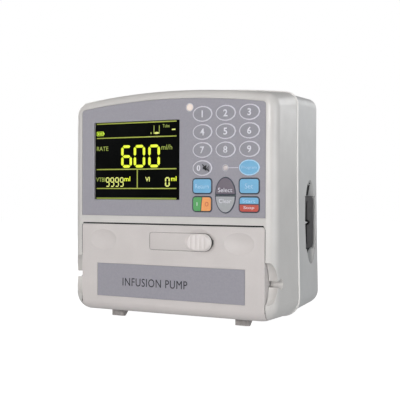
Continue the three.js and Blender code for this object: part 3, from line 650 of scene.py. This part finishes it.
def lettering(name, text, body, material, x, y, z, height, width=None, thick=0.12, bold=0.0,
              spacing=1.0, slot=None):
    """Flat letters that stand on the front plane, centred at (x, z), their front at y."""
    curve = bpy.data.curves.new(name, "FONT")
    curve.body = text
    curve.align_x, curve.align_y = "CENTER", "CENTER"
    curve.size = 1
    curve.offset = bold
    curve.space_character = spacing
    curve.resolution_u = 4
    holder = bpy.data.objects.new(name + "_text", curve)
    bpy.context.scene.collection.objects.link(holder)
    bpy.context.view_layer.update()
    flat = bpy.data.meshes.new_from_object(holder)
    bpy.data.objects.remove(holder)
    xs = [v.co.x for v in flat.vertices]
    ys = [v.co.y for v in flat.vertices]
    tall, wide = max(ys) - min(ys), max(xs) - min(xs)
    middle = (max(xs) + min(xs)) / 2, (max(ys) + min(ys)) / 2
    scale_z = height / tall
    scale_x = width / wide if width else scale_z
    bm = bmesh.new()
    bm.from_mesh(flat)
    bpy.data.meshes.remove(flat)
    for v in bm.verts:
        across, up = (v.co.x - middle[0]) * scale_x, (v.co.y - middle[1]) * scale_z
        v.co = (x + across, y + thick, z + up)
    bmesh.ops.remove_doubles(bm, verts=bm.verts, dist=1e-4)
    fronts = list(bm.faces)
    made = bmesh.ops.extrude_face_region(bm, geom=fronts)
    for v in (g for g in made["geom"] if isinstance(g, bmesh.types.BMVert)):
        v.co.y = y
    fix_normals(bm)
    place(new_object(name, bm, smooth=None), body, material)


def plate(bm, outline, y0, y1):
    """A flat prism of an outline in (x, z) between two depths."""
    loops = [[(x, y, z) for x, z in outline] for y in (y0, y1)]
    loop_mesh(bm, loops)
    fix_normals(bm)


def strip(bm, x0, x1, z0, z1, y0, y1):
    """A flat bar."""
    plate(bm, [(x0, z0), (x1, z0), (x1, z1), (x0, z1)], y0, y1)


def annulus(bm, outer, inner, y0, y1):
    """A flat ring between two outlines in (x, z)."""
    loops = [[(x, y, z) for x, z in line] for line, y in
             ((outer, y1), (outer, y0), (inner, y0), (inner, y1))]
    hoop_mesh(bm, loops)
    fix_normals(bm)


# ---- keys

KEY_RX, KEY_RZ, KEY_CORNER = 10.05, 7.2, 3.2
KEY_X, KEY_PITCH_X, KEY_Z, KEY_PITCH_Z = 35.3, 23.5, 194.2, 16.5
OVAL_RX, OVAL_RZ, OVAL_SPLIT = 10.3, 16.4, 0.4
KEY_FRONT, KEY_BACK, KEY_CROWN = -0.1, 2.9, 0.42
# Ink stands a little proud of the crown of a key, and reaches below it.
INK_Y, INK_DEPTH = KEY_FRONT - KEY_CROWN - 0.04, 0.25


def key_centre(column, row):
    return KEY_X + column * KEY_PITCH_X, KEY_Z - row * KEY_PITCH_Z


def key_piece(name, outline, centre, edge, fill, rim=1.05, cuts=()):
    """A crowned key: a printed rim, and a field that cuts split into colours.

    outline(grow) gives the key's edge moved outwards; cuts are (point, direction, width) lines,
    and fill is the list of materials from the first side of the cuts to the last.
    """
    bm = bmesh.new()
    cx, cz = centre

    def height(t):
        return KEY_FRONT - KEY_CROWN * (1 - t * t)

    rim_line = outline(-rim)
    loops = [[(x, KEY_BACK, z) for x, z in outline(0)],
             [(x, KEY_FRONT + 0.35, z) for x, z in outline(0)],
             [(x, KEY_FRONT + 0.1, z) for x, z in outline(-0.1)],
             [(x, KEY_FRONT, z) for x, z in outline(-0.35)]]
    share = 0.9
    loops.append([(x, height(share), z) for x, z in rim_line])
    for t in (0.8, 0.62, 0.45, 0.28, 0.12):
        loops.append([(cx + (x - cx) * t / share, height(t), cz + (z - cz) * t / share)
                      for x, z in rim_line])
    rows = loop_mesh(bm, loops)
    fix_normals(bm)
    crown = height(0.2) + 1e-6
    field = {f for row in rows[4:] for f in row}
    field |= {f for f in bm.faces if all(v.co.y < crown for v in f.verts)}
    for f in field:
        f.material_index = 1
    materials = [edge] + list(fill)
    for number, (point, direction, width) in enumerate(cuts):
        normal = Vector((-direction[1], 0, direction[0])).normalized()
        for offset in (-width / 2, width / 2):
            at = Vector((point[0], 0, point[1])) + normal * offset
            faces = [f for f in bm.faces if f.material_index]
            edges = list({e for f in faces for e in f.edges})
            geom = faces + edges + list({v for f in faces for v in f.verts})
            bmesh.ops.bisect_plane(bm, geom=geom, plane_co=at, plane_no=normal, dist=1e-5)
        for f in (f for f in bm.faces if f.material_index):
            away = (f.calc_center_median() - Vector((point[0], 0, point[1]))).dot(normal)
            if abs(away) < width / 2:
                f.material_index = 0
            elif away > 0:
                f.material_index = number + 2
    place(new_object(name + "_cap", bm), name, materials, replaces=[name])


def legend(key, text, material, x, z, height, part="legend", **style):
    lettering(f"{key}_{part}", text, key, material, x, INK_Y, z, height, thick=INK_DEPTH, **style)


def make_keys():
    def oval(name, column, row, edge, fill):
        x, z = key_centre(column, row)
        key_piece(name, lambda g: ellipse_outline(x, z, KEY_RX + g, KEY_RZ + g), (x, z), edge, [fill])
        return x, z

    for number in range(1, 10):
        name = f"key_{number}"
        x, z = oval(name, (number - 1) % 3, (number - 1) // 3, "ring_light", "key_fill")
        legend(name, str(number), "ink_light", x, z, 6.4, bold=0.022)

    x, z = oval("key_0_mute", 0, 3, "ring_light", "key_fill")
    legend("key_0_mute", "0", "ink_light", x - 3.6, z, 5.6, bold=0.03)
    mute_icon(x + 3.4, z)

    x, z = oval("key_program", 2, 3, "ink_blue_pale", "key_blue")
    legend("key_program", "Program", "ink_blue_pale", x, z - 0.2, 3.4, width=14.6)

    def square(name, column, row, edge, fill, cuts=()):
        x, z = key_centre(column, row)
        key_piece(name, lambda g: rounded_outline(x, z, KEY_RX + g, KEY_RZ + g, KEY_CORNER + g),
                  (x, z), edge, fill, 0.95, cuts)
        return x, z

    x, z = square("key_return", 0, 4, "key_edge", ["key_blue"])
    legend("key_return", "Return", "ink_blue_pale", x, z - 0.2, 4.2, width=14)
    x, z = square("key_set", 2, 4, "key_edge", ["key_blue"])
    legend("key_set", "Set", "ink_blue_pale", x, z, 4.6)
    px, pz = key_centre(0, 5)
    square("key_power", 0, 5, "key_edge", ["key_orange", "key_green"],
           [((px - 0.6, pz), (1.4, 13), 0.75)])
    with piece("key_power_on_mark", "key_power", "ink_light") as bm:
        mark_back = INK_Y + 0.24
        strip(bm, px - 5.3, px - 4.7, pz - 1.6, pz + 1.6, INK_Y, mark_back)
    with piece("key_power_off_mark", "key_power", "key_red") as bm:
        off_x = px + 4.9
        annulus(bm, ellipse_outline(off_x, pz, 1.7, 2.0, 32), ellipse_outline(off_x, pz, 1.2, 1.5, 32),
                INK_Y, mark_back)
    sx, sz = key_centre(2, 5)
    square("key_start_stop", 2, 5, "key_edge", ["key_red", "key_blue"], [((sx, sz + 0.2), (1, 0), 0.9)])
    legend("key_start_stop", "Start", "ink_blue_pale", sx, sz + 3.3, 3.1, width=12.5)
    legend("key_start_stop", "Stop", "ink_light", sx, sz - 3.1, 3.1, part="legend_stop", width=10.5)

    x, z = key_centre(1, 4.5)
    for name, upper, fill in (("key_select", True, "key_dark"), ("key_clear", False, "key_pale")):
        def outline(g, upper=upper):
            return half_oval_outline(x, z, OVAL_RX + g, OVAL_RZ + g, upper, OVAL_SPLIT - g)
        middle = (x, z + (7 if upper else -7))
        key_piece(name, outline, middle, "key_edge", [fill], 0.85)
    legend("key_select", "Select", "ink_light", x, z + 4.7, 4.0, width=14.2)
    legend("key_clear", "Clear", "ink_light", x, z - 5.2, 3.9, width=12.4)


def mute_icon(x, z):
    """A loudspeaker with a stroke across it."""
    with piece("key_0_mute_icon", "key_0_mute", "ink_black", smooth=None) as bm:
        plate(bm, [(x - 2.6, z - 1.1), (x - 1.2, z - 1.1), (x + 1.1, z - 3), (x + 1.1, z + 3),
                   (x - 1.2, z + 1.1), (x - 2.6, z + 1.1)], INK_Y, INK_Y + INK_DEPTH)
        for radius in (2.2, 3.6):
            angles = [math.radians(-38 + 76 * i / 8) for i in range(9)]
            outer, inner = ([(x + 0.3 + r * math.cos(a), z + r * math.sin(a)) for a in angles]
                            for r in (radius, radius - 0.55))
            plate(bm, outer + inner[::-1], INK_Y, INK_Y + INK_DEPTH)
    with piece("key_0_mute_stroke", "key_0_mute", "ink_black", smooth=None) as bm:
        plate(bm, [(x - 3.4, z + 3.1), (x - 2.9, z + 3.6), (x + 4.2, z - 3.1), (x + 3.7, z - 3.6)],
              INK_Y - 0.05, INK_Y + 0.2)


# ---- display

# The window's face, and the front and back of what is lit on it.
GLASS_Y = 1.7
LIT_Y, LIT_BACK = GLASS_Y - 0.08, GLASS_Y + 0.05
RULE_LEFT, RULE_RIGHT = -82, 7.4
# Each rule across the display: its height and half its thickness.
RULES = ((188.9, 0.55), (175.0, 0.5), (144.5, 0.55), (126.0, 0.5))
# The left and right edges of the three large figures.
RATE_FIGURES = ((-53.6, -41.4), (-39.4, -26.6), (-23.2, -10.4))

SEGMENTS = {"0": "abcdef", "6": "afgedc", "9": "abcdfg"}

# Each word: its text, place, height, width and material.
LCD_WORDS = {
    "lcd_rate_word": ("RATE", -75.2, 164.8, 4.2, 13.4, "lit_dim"),
    "lcd_rate_unit": ("ml/h", -3.0, 164.9, 4.8, 11.6, "lit_dim"),
    "lcd_target_word": ("VTBI", -77.4, 134.6, 4.2, 10.4, "lit_dim"),
    "lcd_target_unit": ("ml", -46.6, 135.2, 4.4, 6.6, "lit"),
    "lcd_total_word": ("VI", -24.0, 134.8, 4.4, 4.8, "lit_pale"),
    "lcd_total_unit": ("ml", 4.6, 135.2, 4.4, 5.8, "lit"),
    "lcd_tube_word": ("Tube", -3.8, 184.9, 3.1, 7.6, "lit_dim"),
}


def digit(bm, x0, x1, z0, z1, thick, shape, gap):
    """One seven-segment figure; each bar has pointed ends, and gap is kept at both."""
    zm, h = (z0 + z1) / 2, thick / 2

    def bar(a, b, vertical):
        (ax, az), (bx, bz) = a, b
        if vertical:
            points = [(ax, az), (ax + h, az + h), (ax + h, bz - h), (ax, bz), (ax - h, bz - h),
                      (ax - h, az + h)]
        else:
            points = [(ax, az), (ax + h, az - h), (bx - h, az - h), (bx, az), (bx - h, az + h),
                      (ax + h, az + h)]
        plate(bm, points, LIT_Y, LIT_BACK)

    left, right, low, high = x0 + h, x1 - h, z0 + h, z1 - h
    bars = {
        "a": ((left + gap, high), (right - gap, high), False),
        "g": ((left + gap, zm), (right - gap, zm), False),
        "d": ((left + gap, low), (right - gap, low), False),
        "f": ((left, zm + gap), (left, high - gap), True),
        "e": ((left, low + gap), (left, zm - gap), True),
        "b": ((right, zm + gap), (right, high - gap), True),
        "c": ((right, low + gap), (right, zm - gap), True),
    }
    for segment in SEGMENTS[shape]:
        bar(*bars[segment])


def lit(name, material):
    return piece(name, "housing", material, "display", smooth=None)


def make_display():
    with lit("lcd_rules", "lit_line") as bm:
        for z, half in RULES:
            strip(bm, RULE_LEFT, RULE_RIGHT, z - half, z + half, LIT_Y, LIT_BACK)
        strip(bm, -35.9, -34.8, 126.3, 144.2, LIT_Y, LIT_BACK)
    with lit("lcd_rule_bottom", "lit_dim") as bm:
        strip(bm, RULE_LEFT, RULE_RIGHT, 115.6, 117.2, LIT_Y, LIT_BACK)

    with lit("lcd_rate_figures", "lit") as bm:
        for (x0, x1), shape in zip(RATE_FIGURES, "600"):
            digit(bm, x0, x1, 145.9, 167.6, 2.7, shape, 0.5)
    with lit("lcd_target_figures", "lit_pale") as bm:
        for i in range(4):
            digit(bm, -71.4 + i * 5.4, -66.9 + i * 5.4, 127.6, 136.8, 1.05, "9", 0.15)
    with lit("lcd_total_figure", "lit_pale") as bm:
        digit(bm, -4.8, 0.3, 127.6, 136.7, 1.3, "0", 0.1)

    for name, (text, x, z, height, width, material) in LCD_WORDS.items():
        lettering(name, text, "housing", material, x, LIT_Y, z, height, width=width, thick=0.13,
                  bold=0.015, slot="display")

    with lit("lcd_battery_icon", "lit_green") as bm:
        annulus(bm, rounded_outline(-78.0, 179.4, 4.0, 2.1, 0.5, 2),
                rounded_outline(-78.0, 179.4, 3.45, 1.55, 0.3, 2), LIT_Y, LIT_BACK)
        for i in range(3):
            strip(bm, -80.8 + i * 2.05, -79.5 + i * 2.05, 178.4, 180.4, LIT_Y, LIT_BACK)
        strip(bm, -73.9, -73.0, 178.6, 180.2, LIT_Y, LIT_BACK)

    with lit("lcd_bottle_icon", "lit_dim") as bm:
        for side in (-1, 1):
            x = -14.1 + side * 2.9
            strip(bm, x - 0.45, x + 0.45, 177.6, 185.6, LIT_Y, LIT_BACK)
        strip(bm, -20.9, -19.4, 177.6, 179.2, LIT_Y, LIT_BACK)
    with lit("lcd_level_mark", "lit_pale") as bm:
        plate(bm, ellipse_outline(-14.1, 178.4, 2.6, 0.9, 24), LIT_Y - 0.02, LIT_BACK)
        strip(bm, 2.4, 6.2, 180.6, 181.8, LIT_Y, LIT_BACK)


# ---- panel details

ALARM_X, ALARM_Z, ALARM_R, PROGRAM_R = 22.0, 200.8, 3.2, 2.3
# A lens from its foot to its tip: depth, and radius as a share of the lens.
LENS_PROFILE = ((3.2, 1), (0.2, 1), (-0.15, 0.93), (-0.45, 0.75), (-0.62, 0.4))


def make_panel_details():
    led_x, led_z = key_centre(1, 3)
    key_x, _ = key_centre(2, 3)
    with piece("led_link_line", "housing", "ring_light", "overlay") as bm:
        strip(bm, led_x + 3.2, key_x - KEY_RX - 0.6, led_z - 0.32, led_z + 0.32, 0.17, 0.3)
    for name, material, node, x, z, r in (
            ("alarm_lens", "lamp", "alarm_lamp", ALARM_X, ALARM_Z, ALARM_R),
            ("program_lens", "led", "program_lamp", led_x, led_z, PROGRAM_R)):
        with piece(name, "housing", material, "lamp", replaces=[node]) as bm:
            profile = [(y, r * share) for y, share in LENS_PROFILE]
            turned(bm, profile + [(-0.66, 0.02)], "y", (x, 0, z), 40)
        with piece(name + "_ring", "housing", "ring_light", "overlay") as bm:
            outer, inner = (ellipse_outline(x, z, r + wider, r + wider) for wider in (0.75, 0.28))
            annulus(bm, outer, inner, 0.14, 0.3)


# ---- door

LABEL_MIDDLE_X, LABEL_TEXT_Z = -15.2, 36.3
DOOR_GAP_X = 97.9
LATCH_X0, LATCH_END, LATCH_Z, LATCH_R, LATCH_CORNER = -20.3, 37.0, 76.4, 8.1, 2.0
GRIP_X, GRIP_RX, GRIP_RZ = 30.6, 13.4, 7.9
GRIP_FOOT, GRIP_BACK = 0.15, 0.4
# Steps of the grip's mesh across and up.
GRIP_ACROSS, GRIP_UP = 132, 36
RIB_PITCH, RIB_COUNT = 4.7, 5
DOME_HEIGHT, RIB_HEIGHT = 0.62, 0.86


def latch_outline(grow):
    """The latch plate's edge moved outwards: two small corners, then a round end."""
    points = []
    for cz, start in ((1, 90), (-1, 180)):
        points += arc(LATCH_X0 + LATCH_CORNER, LATCH_Z + cz * (LATCH_R - LATCH_CORNER),
                      LATCH_CORNER + grow, start, 90, 6)
    return points + arc(LATCH_END, LATCH_Z, LATCH_R + grow, -90, 180, 32)


def make_latch():
    """The latch plate with its elliptical thumb grip, crossed by rounded ribs."""
    with piece("latch_plate", "latch", "door", "door", replaces=["latch_slider"]) as bm:
        loops = [[(x, y, z) for x, z in latch_outline(grow)]
                 for y, grow in ((2.0, 0), (0.45, 0), (0.13, -0.12), (0.0, -0.42))]
        loop_mesh(bm, loops)
        box(bm, 25, 31, 1.5, 4.3, LATCH_Z - 2.4, LATCH_Z + 2.4)
        fix_normals(bm)

    with piece("latch_grip", "latch", "grip", "door", smooth=60) as bm:
        rows = []
        for i in range(GRIP_ACROSS + 1):
            s = -math.cos(math.pi * i / GRIP_ACROSS)
            row = []
            for j in range(GRIP_UP + 1):
                t = -math.cos(math.pi * j / GRIP_UP)
                x = s * GRIP_RX
                z = t * GRIP_RZ * math.sqrt(max(0.0, 1 - s * s))
                edge = max(0.0, 1 - s * s - (z / GRIP_RZ) ** 2)
                dome = DOME_HEIGHT * min(1.0, edge * 3.2) ** 0.5
                wave = abs(math.cos(math.pi * x / RIB_PITCH))
                inside = abs(x) < RIB_PITCH * (RIB_COUNT / 2)
                rib = RIB_HEIGHT * (wave ** 0.55) * min(1.0, edge * 5) ** 0.5 if inside else 0.0
                row.append(bm.verts.new((GRIP_X + x, GRIP_FOOT - dome - rib, LATCH_Z + z)))
            rows.append(row)
        for a, b in zip(rows, rows[1:]):
            for j in range(GRIP_UP):
                bm.faces.new((a[j], b[j], b[j + 1], a[j + 1]))
        bmesh.ops.remove_doubles(bm, verts=bm.verts, dist=1e-4)
        bmesh.ops.dissolve_degenerate(bm, edges=bm.edges, dist=1e-5)
        back = bmesh.ops.extrude_face_region(bm, geom=list(bm.faces))
        for v in (g for g in back["geom"] if isinstance(g, bmesh.types.BMVert)):
            v.co.y = GRIP_BACK
        fix_normals(bm)


def make_door_details():
    lettering("door_label_words", "INFUSION PUMP", "door", "ink_dark", LABEL_MIDDLE_X, -0.02,
              LABEL_TEXT_Z, 7.6, width=70.6, thick=0.1, spacing=1.1, slot="overlay")
    # A dark ring round the latch plate's edge: painted shadow in the gap around it.
    with piece("latch_edge_shadow", "latch", "seal", "rubber") as bm:
        annulus(bm, latch_outline(0.34), latch_outline(-0.28), 0.45, 1.6)
    # A dark strip round the top and sides of the door's bay: painted shadow in the gap between door and
    # case.
    with piece("door_gap_painted_shadow", "housing", "gap", "rubber") as bm:
        strip(bm, -96.5, 96.5, 91.7, 93.0, -0.05, 3)
        for side in (-1, 1):
            near, far = sorted((side * (DOOR_GAP_X - 0.24), side * (DOOR_GAP_X + 0.24)))
            strip(bm, near, far, 62.5, 91, 0.2, 3)
            strip(bm, near, far, 15, 20.5, 0.2, 3)
    screws("door_liner_screws", "door", [(x, 11.5, z) for x in (-88, -46, 46, 88) for z in (26, 84)],
           "y", 1, radius=1.9, height=0.9)
    with piece("platen_springs", "door", "steel_turned", "steel") as bm:
        for x in (-26, 26):
            tube(bm, helix((x, 4.1, SHAFT_Z), 3.0, 3.3, 3.5), 0.35)
    with piece("latch_return_spring", "door", "steel_turned", "steel") as bm:
        tube(bm, helix((-60, 5.2, 68.6), 2.0, 34, 15, "x"), 0.3)
    with piece("platen_seal", "door", "rubber", "rubber") as bm:
        inner = rounded_outline(0, SHAFT_Z, 40, 11, 2, 4)
        outer = rounded_outline(0, SHAFT_Z, 42.2, 13.2, 3, 4)
        annulus(bm, outer, inner, 11.45, 12.0)


# ---- mechanism

SHAFT_Y, SHAFT_Z = 40, 41
MOTOR_Y, MOTOR_Z, MOTOR_FRONT = 45, 86, 52
FINGERS, FINGER_PITCH, FINGER_BELOW = 7, 9, 9.6
LAMINATIONS, LAMINATION_X, LAMINATION_PITCH, LAMINATION_THICK = 9, 20, 2.9, 1.1


def make_mechanism():
    screws("pump_block_screws", "housing", [(x, 15.4, z) for x in (-44.5, 44.5) for z in (27, 55)],
           "y", -1, radius=2.6, height=1.1, socket="hex")
    screws("bubble_sensor_screws", "housing", [(x, 12.4, z) for x in (63, 75) for z in (35.2, 46.8)],
           "y", -1, radius=1.2, height=0.5)
    with piece("finger_springs", "housing", "steel_turned", "steel") as bm:
        for i in range(FINGERS):
            x = (i - FINGERS // 2) * FINGER_PITCH
            tube(bm, helix((x, 20.5, SHAFT_Z - FINGER_BELOW), 1.6, 8.5, 6), 0.25)
    for name, x in (("left", -47), ("right", 47)):
        with piece(f"bearing_shields_{name}", "housing", "steel", "steel") as bm:
            for side in (-1, 1):
                near, far = side * 2.55, side * 2.62
                profile = [(near, 6.9), (far, 6.9), (far, 4.5), (near, 4.5)]
                turned(bm, profile, "x", (x, SHAFT_Y, SHAFT_Z), 36)
    with piece("motor_laminations", "housing", "steel", "steel") as bm:
        outer = rounded_outline(MOTOR_Y, MOTOR_Z, 21.25, 21.25, 4.3, 4)
        inner = rounded_outline(MOTOR_Y, MOTOR_Z, 20.7, 20.7, 4, 4)
        for i in range(LAMINATIONS):
            x = LAMINATION_X + i * LAMINATION_PITCH
            rings = [[(x + dx, y, z) for y, z in line] for dx, line in
                     ((0, outer), (LAMINATION_THICK, outer), (LAMINATION_THICK, inner), (0, inner))]
            hoop_mesh(bm, rings)
        fix_normals(bm)
    corners = [(MOTOR_FRONT, MOTOR_Y + a, MOTOR_Z + b) for a in (-15.5, 15.5) for b in (-15.5, 15.5)]
    screws("motor_screws", "housing", corners, "x", 1, radius=2.0, height=0.9)


# ---- electronics

BOARD_BACK = 35.6
# Each chip on the board: its middle and half its width and height.
CHIPS = ((-60, 170, 9, 9), (-20, 160, 7, 12), (24, 172, 11, 6), (60, 156, 6, 6), (-70, 128, 6, 10),
         (4, 126, 12, 5), (48, 124, 7, 7), (-38, 138, 4, 4))
CAPACITORS = ((80, 178), (80, 164), (-84, 150), (36, 146))
# Each lead: its material, slot, radius and route.
LEADS = {
    "lead_battery": ("wire_red", "battery", 0.9,
                     ((-28, 80, 160), (-20, 72, 150), (-16, 50, 142), (-14, 37, 140))),
    "lead_supply": ("wire_blue", "alloy", 0.9,
                    ((-30, 76, 120), (-18, 68, 118), (-10, 48, 116), (-8, 37, 116))),
    "lead_motor": ("wire_yellow", "dark_plastic", 0.8,
                   ((30, 50, 107), (32, 48, 112), (30, 42, 117), (28, 37, 119))),
}


def make_electronics():
    """Parts on the main board's back, and the leads from it to the units around it."""
    with piece("board_chips", "housing", "black", "board") as bm:
        for x, z, half_x, half_z in CHIPS:
            box(bm, x - half_x, x + half_x, BOARD_BACK, 38.2, z - half_z, z + half_z, 0.3, 1)
    with piece("board_chip_legs", "housing", "steel", "board") as bm:
        for x, z, half_x, half_z in CHIPS:
            for side in (-1, 1):
                for i in range(int(half_z)):
                    at = z - half_z + 1 + i * 2
                    near, far = x + side * half_x - 0.2, x + side * half_x + side * 1.4 + 0.2
                    box(bm, near, far, BOARD_BACK, 36.4, at - 0.3, at + 0.3)
    with piece("board_capacitors", "housing", "battery", "board") as bm:
        for x, z in CAPACITORS:
            turned(bm, [(BOARD_BACK, 3.6), (36, 4), (45, 4), (45.6, 3.5), (45.7, 0.02)], "y", (x, 0, z), 24)
    for name, (material, slot, radius, route) in LEADS.items():
        with piece(name, "housing", material, slot) as bm:
            tube(bm, smooth_path(route), radius)


# ---- the back

BACK_Y = 118.5
REAR_SCREWS = ((-94, 26), (-94, 196), (94, 26), (94, 196), (-6, 30), (-6, 200))
INLET_X, INLET_Z, INLET_FACE = -66, 42, 120
INLET_PINS = ((-7, -1.5), (0, 3), (7, -1.5))


def make_back():
    screws("rear_case_screws", "housing", [(x, BACK_Y, z) for x, z in REAR_SCREWS], "y", 1, radius=3.0,
           height=0.5, sink=-0.05)
    with piece("rear_screw_rims", "housing", "case_rear", "case_rear") as bm:
        for x, z in REAR_SCREWS:
            annulus(bm, ellipse_outline(x, z, 5.0, 5.0, 40), ellipse_outline(x, z, 3.4, 3.4, 40),
                    BACK_Y - 0.3, BACK_Y + 0.25)
    with piece("inlet_pins", "housing", "steel", "steel") as bm:
        for dx, dz in INLET_PINS:
            x, z = INLET_X + dx, INLET_Z + dz
            box(bm, x - 1.15, x + 1.15, 104, 117.2, z - 2.15, z + 2.15, 0.4, 2)
    screws("inlet_screws", "housing", [(INLET_X + dx, INLET_FACE, INLET_Z) for dx in (-12.8, 12.8)],
           "y", 1, radius=1.5, height=0.45)


# ---- CAD nodes that stay

# Each node's finish, and how far its edges are rounded in mm.
LOOKS = {
    "front_housing": ("case_front", 0.35), "rear_housing": ("case_rear", 0.35),
    "control_overlay": ("panel", 0.0), "lcd_window": ("screen", 0.0), "lcd_module": ("black", 0.3),
    "keypad_board": ("board", 0.0), "door_cover": ("door", 0.3), "door_liner": ("case_rear", 0.3),
    "door_label": ("panel", 0.0), "latch_bolt": ("steel", 0.25), "hinge_rod": ("steel_turned", 0.3),
    "platen": ("steel", 0.5), "pump_block": ("alloy", 0.4), "camshaft": ("steel_turned", 0.3),
    "cam_bearing_left": ("steel", 0.3), "cam_bearing_right": ("steel", 0.3),
    "driven_pulley": ("black", 0.3), "motor_pulley": ("black", 0.3), "drive_belt": ("rubber", 0.0),
    "stepper_motor": ("black", 0.5), "bubble_sensor": ("black", 0.4), "clamp_lever": ("dark", 0.5),
    "lever_pin": ("steel_turned", 0.2), "clamp_jaw": ("alloy", 0.6), "pole_pad": ("rubber", 0.5),
    "main_board": ("board", 0.0), "power_supply": ("alloy", 1.0), "battery_pack": ("battery", 2.0),
    "ac_inlet": ("black", 0.3),
}
for end in ("front", "rear"):
    LOOKS.update({f"{end}_foot_{side}": ("foot", 0.4) for side in ("left", "right")})
LOOKS.update({f"pump_finger_{number}": ("white", 0.5) for number in range(1, FINGERS + 1)})

# Degrees from which an edge stays sharp, and from which it is rounded.
SPLIT_ANGLES = {"door_cover": 15.6, "rear_housing": 30}
DEFAULT_SPLIT, ROUNDED_FROM = 38, 50
BEAD_FROM_Y = 52.6


def dress_cad():
    """CAD solids keep their shape and get a finish, softened edges and smooth shading."""
    for name, (material, bevel) in LOOKS.items():
        node = NODES[name]
        mesh = node.data
        if "custom_normal" in mesh.attributes:
            mesh.attributes.remove(mesh.attributes["custom_normal"])
        mesh.materials.clear()
        mesh.materials.append(M[material])
        for polygon in mesh.polygons:
            polygon.material_index = 0
            polygon.use_smooth = True
        weld = node.modifiers.new("weld", "WELD")
        weld.merge_threshold = 0.00001
        if bevel:
            soften = node.modifiers.new("soften", "BEVEL")
            soften.width = bevel * MM
            soften.segments = 2
            soften.limit_method = "ANGLE"
            soften.angle_limit = math.radians(ROUNDED_FROM)
            soften.use_clamp_overlap = True
            soften.loop_slide = False
        split = node.modifiers.new("split", "EDGE_SPLIT")
        split.split_angle = math.radians(SPLIT_ANGLES.get(name, DEFAULT_SPLIT))
        split.use_edge_sharp = False
        even = node.modifiers.new("even", "WEIGHTED_NORMAL")
        even.keep_sharp = True


def tint_faces(name, material, chosen):
    """Gives some faces of a CAD solid a finish of their own, picked by their middle in mm."""
    node = NODES[name]
    to_mm = TO_FRAME.inverted() @ node.matrix_world
    node.data.materials.append(M[material])
    for face in node.data.polygons:
        if chosen(to_mm @ face.center):
            face.material_index = len(node.data.materials) - 1


# The dish around the clamp lever: its middle and its half lengths.
DISH_X, DISH_Y, DISH_Z = 106.3, 93, 94.2
DISH_RX, DISH_RY, DISH_RZ = 14, 16, 41
# Painted shadow sheets in the dish: how far they stand proud of it and sink into it, where they start round
# it, and their steps.
SHADOW_PROUD, SHADOW_SUNK, SHADOW_FROM = 0.16, 0.3, 0.1
SHADOW_STEPS_UP, SHADOW_STEPS_ROUND = 8, 6
# Each painted shadow sheet: its first and last height, and how far round the dish it reaches there.
RECESS_SHADOWS = ((119.7, 132.5, 0.8, 0.9), (68.8, 58.0, 0.93, 0.62))


def line_lever_recess():
    """A dark sheet laid in the dish, above the lever and below it: a painted shadow where the dish is in
    deep shade.
    """
    with piece("lever_recess_painted_shadow", "housing", "shade", "rubber") as bm:
        for z0, z1, wide0, wide1 in RECESS_SHADOWS:
            loops = []
            for i in range(SHADOW_STEPS_UP + 1):
                t = i / SHADOW_STEPS_UP
                z = z0 + (z1 - z0) * t
                half = math.sqrt(1 - ((z - DISH_Z) / DISH_RZ) ** 2)
                outer, inner = [], []
                wide = wide0 + (wide1 - wide0) * t
                for j in range(SHADOW_STEPS_ROUND + 1):
                    u = SHADOW_FROM + (wide - SHADOW_FROM) * j / SHADOW_STEPS_ROUND
                    x = DISH_X - DISH_RX * half * math.sqrt(1 - u * u)
                    y = DISH_Y + DISH_RY * half * u
                    outer.append((x + SHADOW_PROUD, y, z))
                    inner.append((x - SHADOW_SUNK, y, z))
                loops.append(outer + inner[::-1])
            loop_mesh(bm, loops)
        fix_normals(bm)


make_camera()
make_stage()
dress_cad()
# Faces of the seam bead get the lighter copy of the case plastic: a painted highlight.
tint_faces("front_housing", "bead_painted_highlight", lambda p: p.y > BEAD_FROM_Y)
line_lever_recess()
make_keys()
make_display()
make_panel_details()
make_latch()
make_door_details()
make_mechanism()
make_electronics()
make_back()
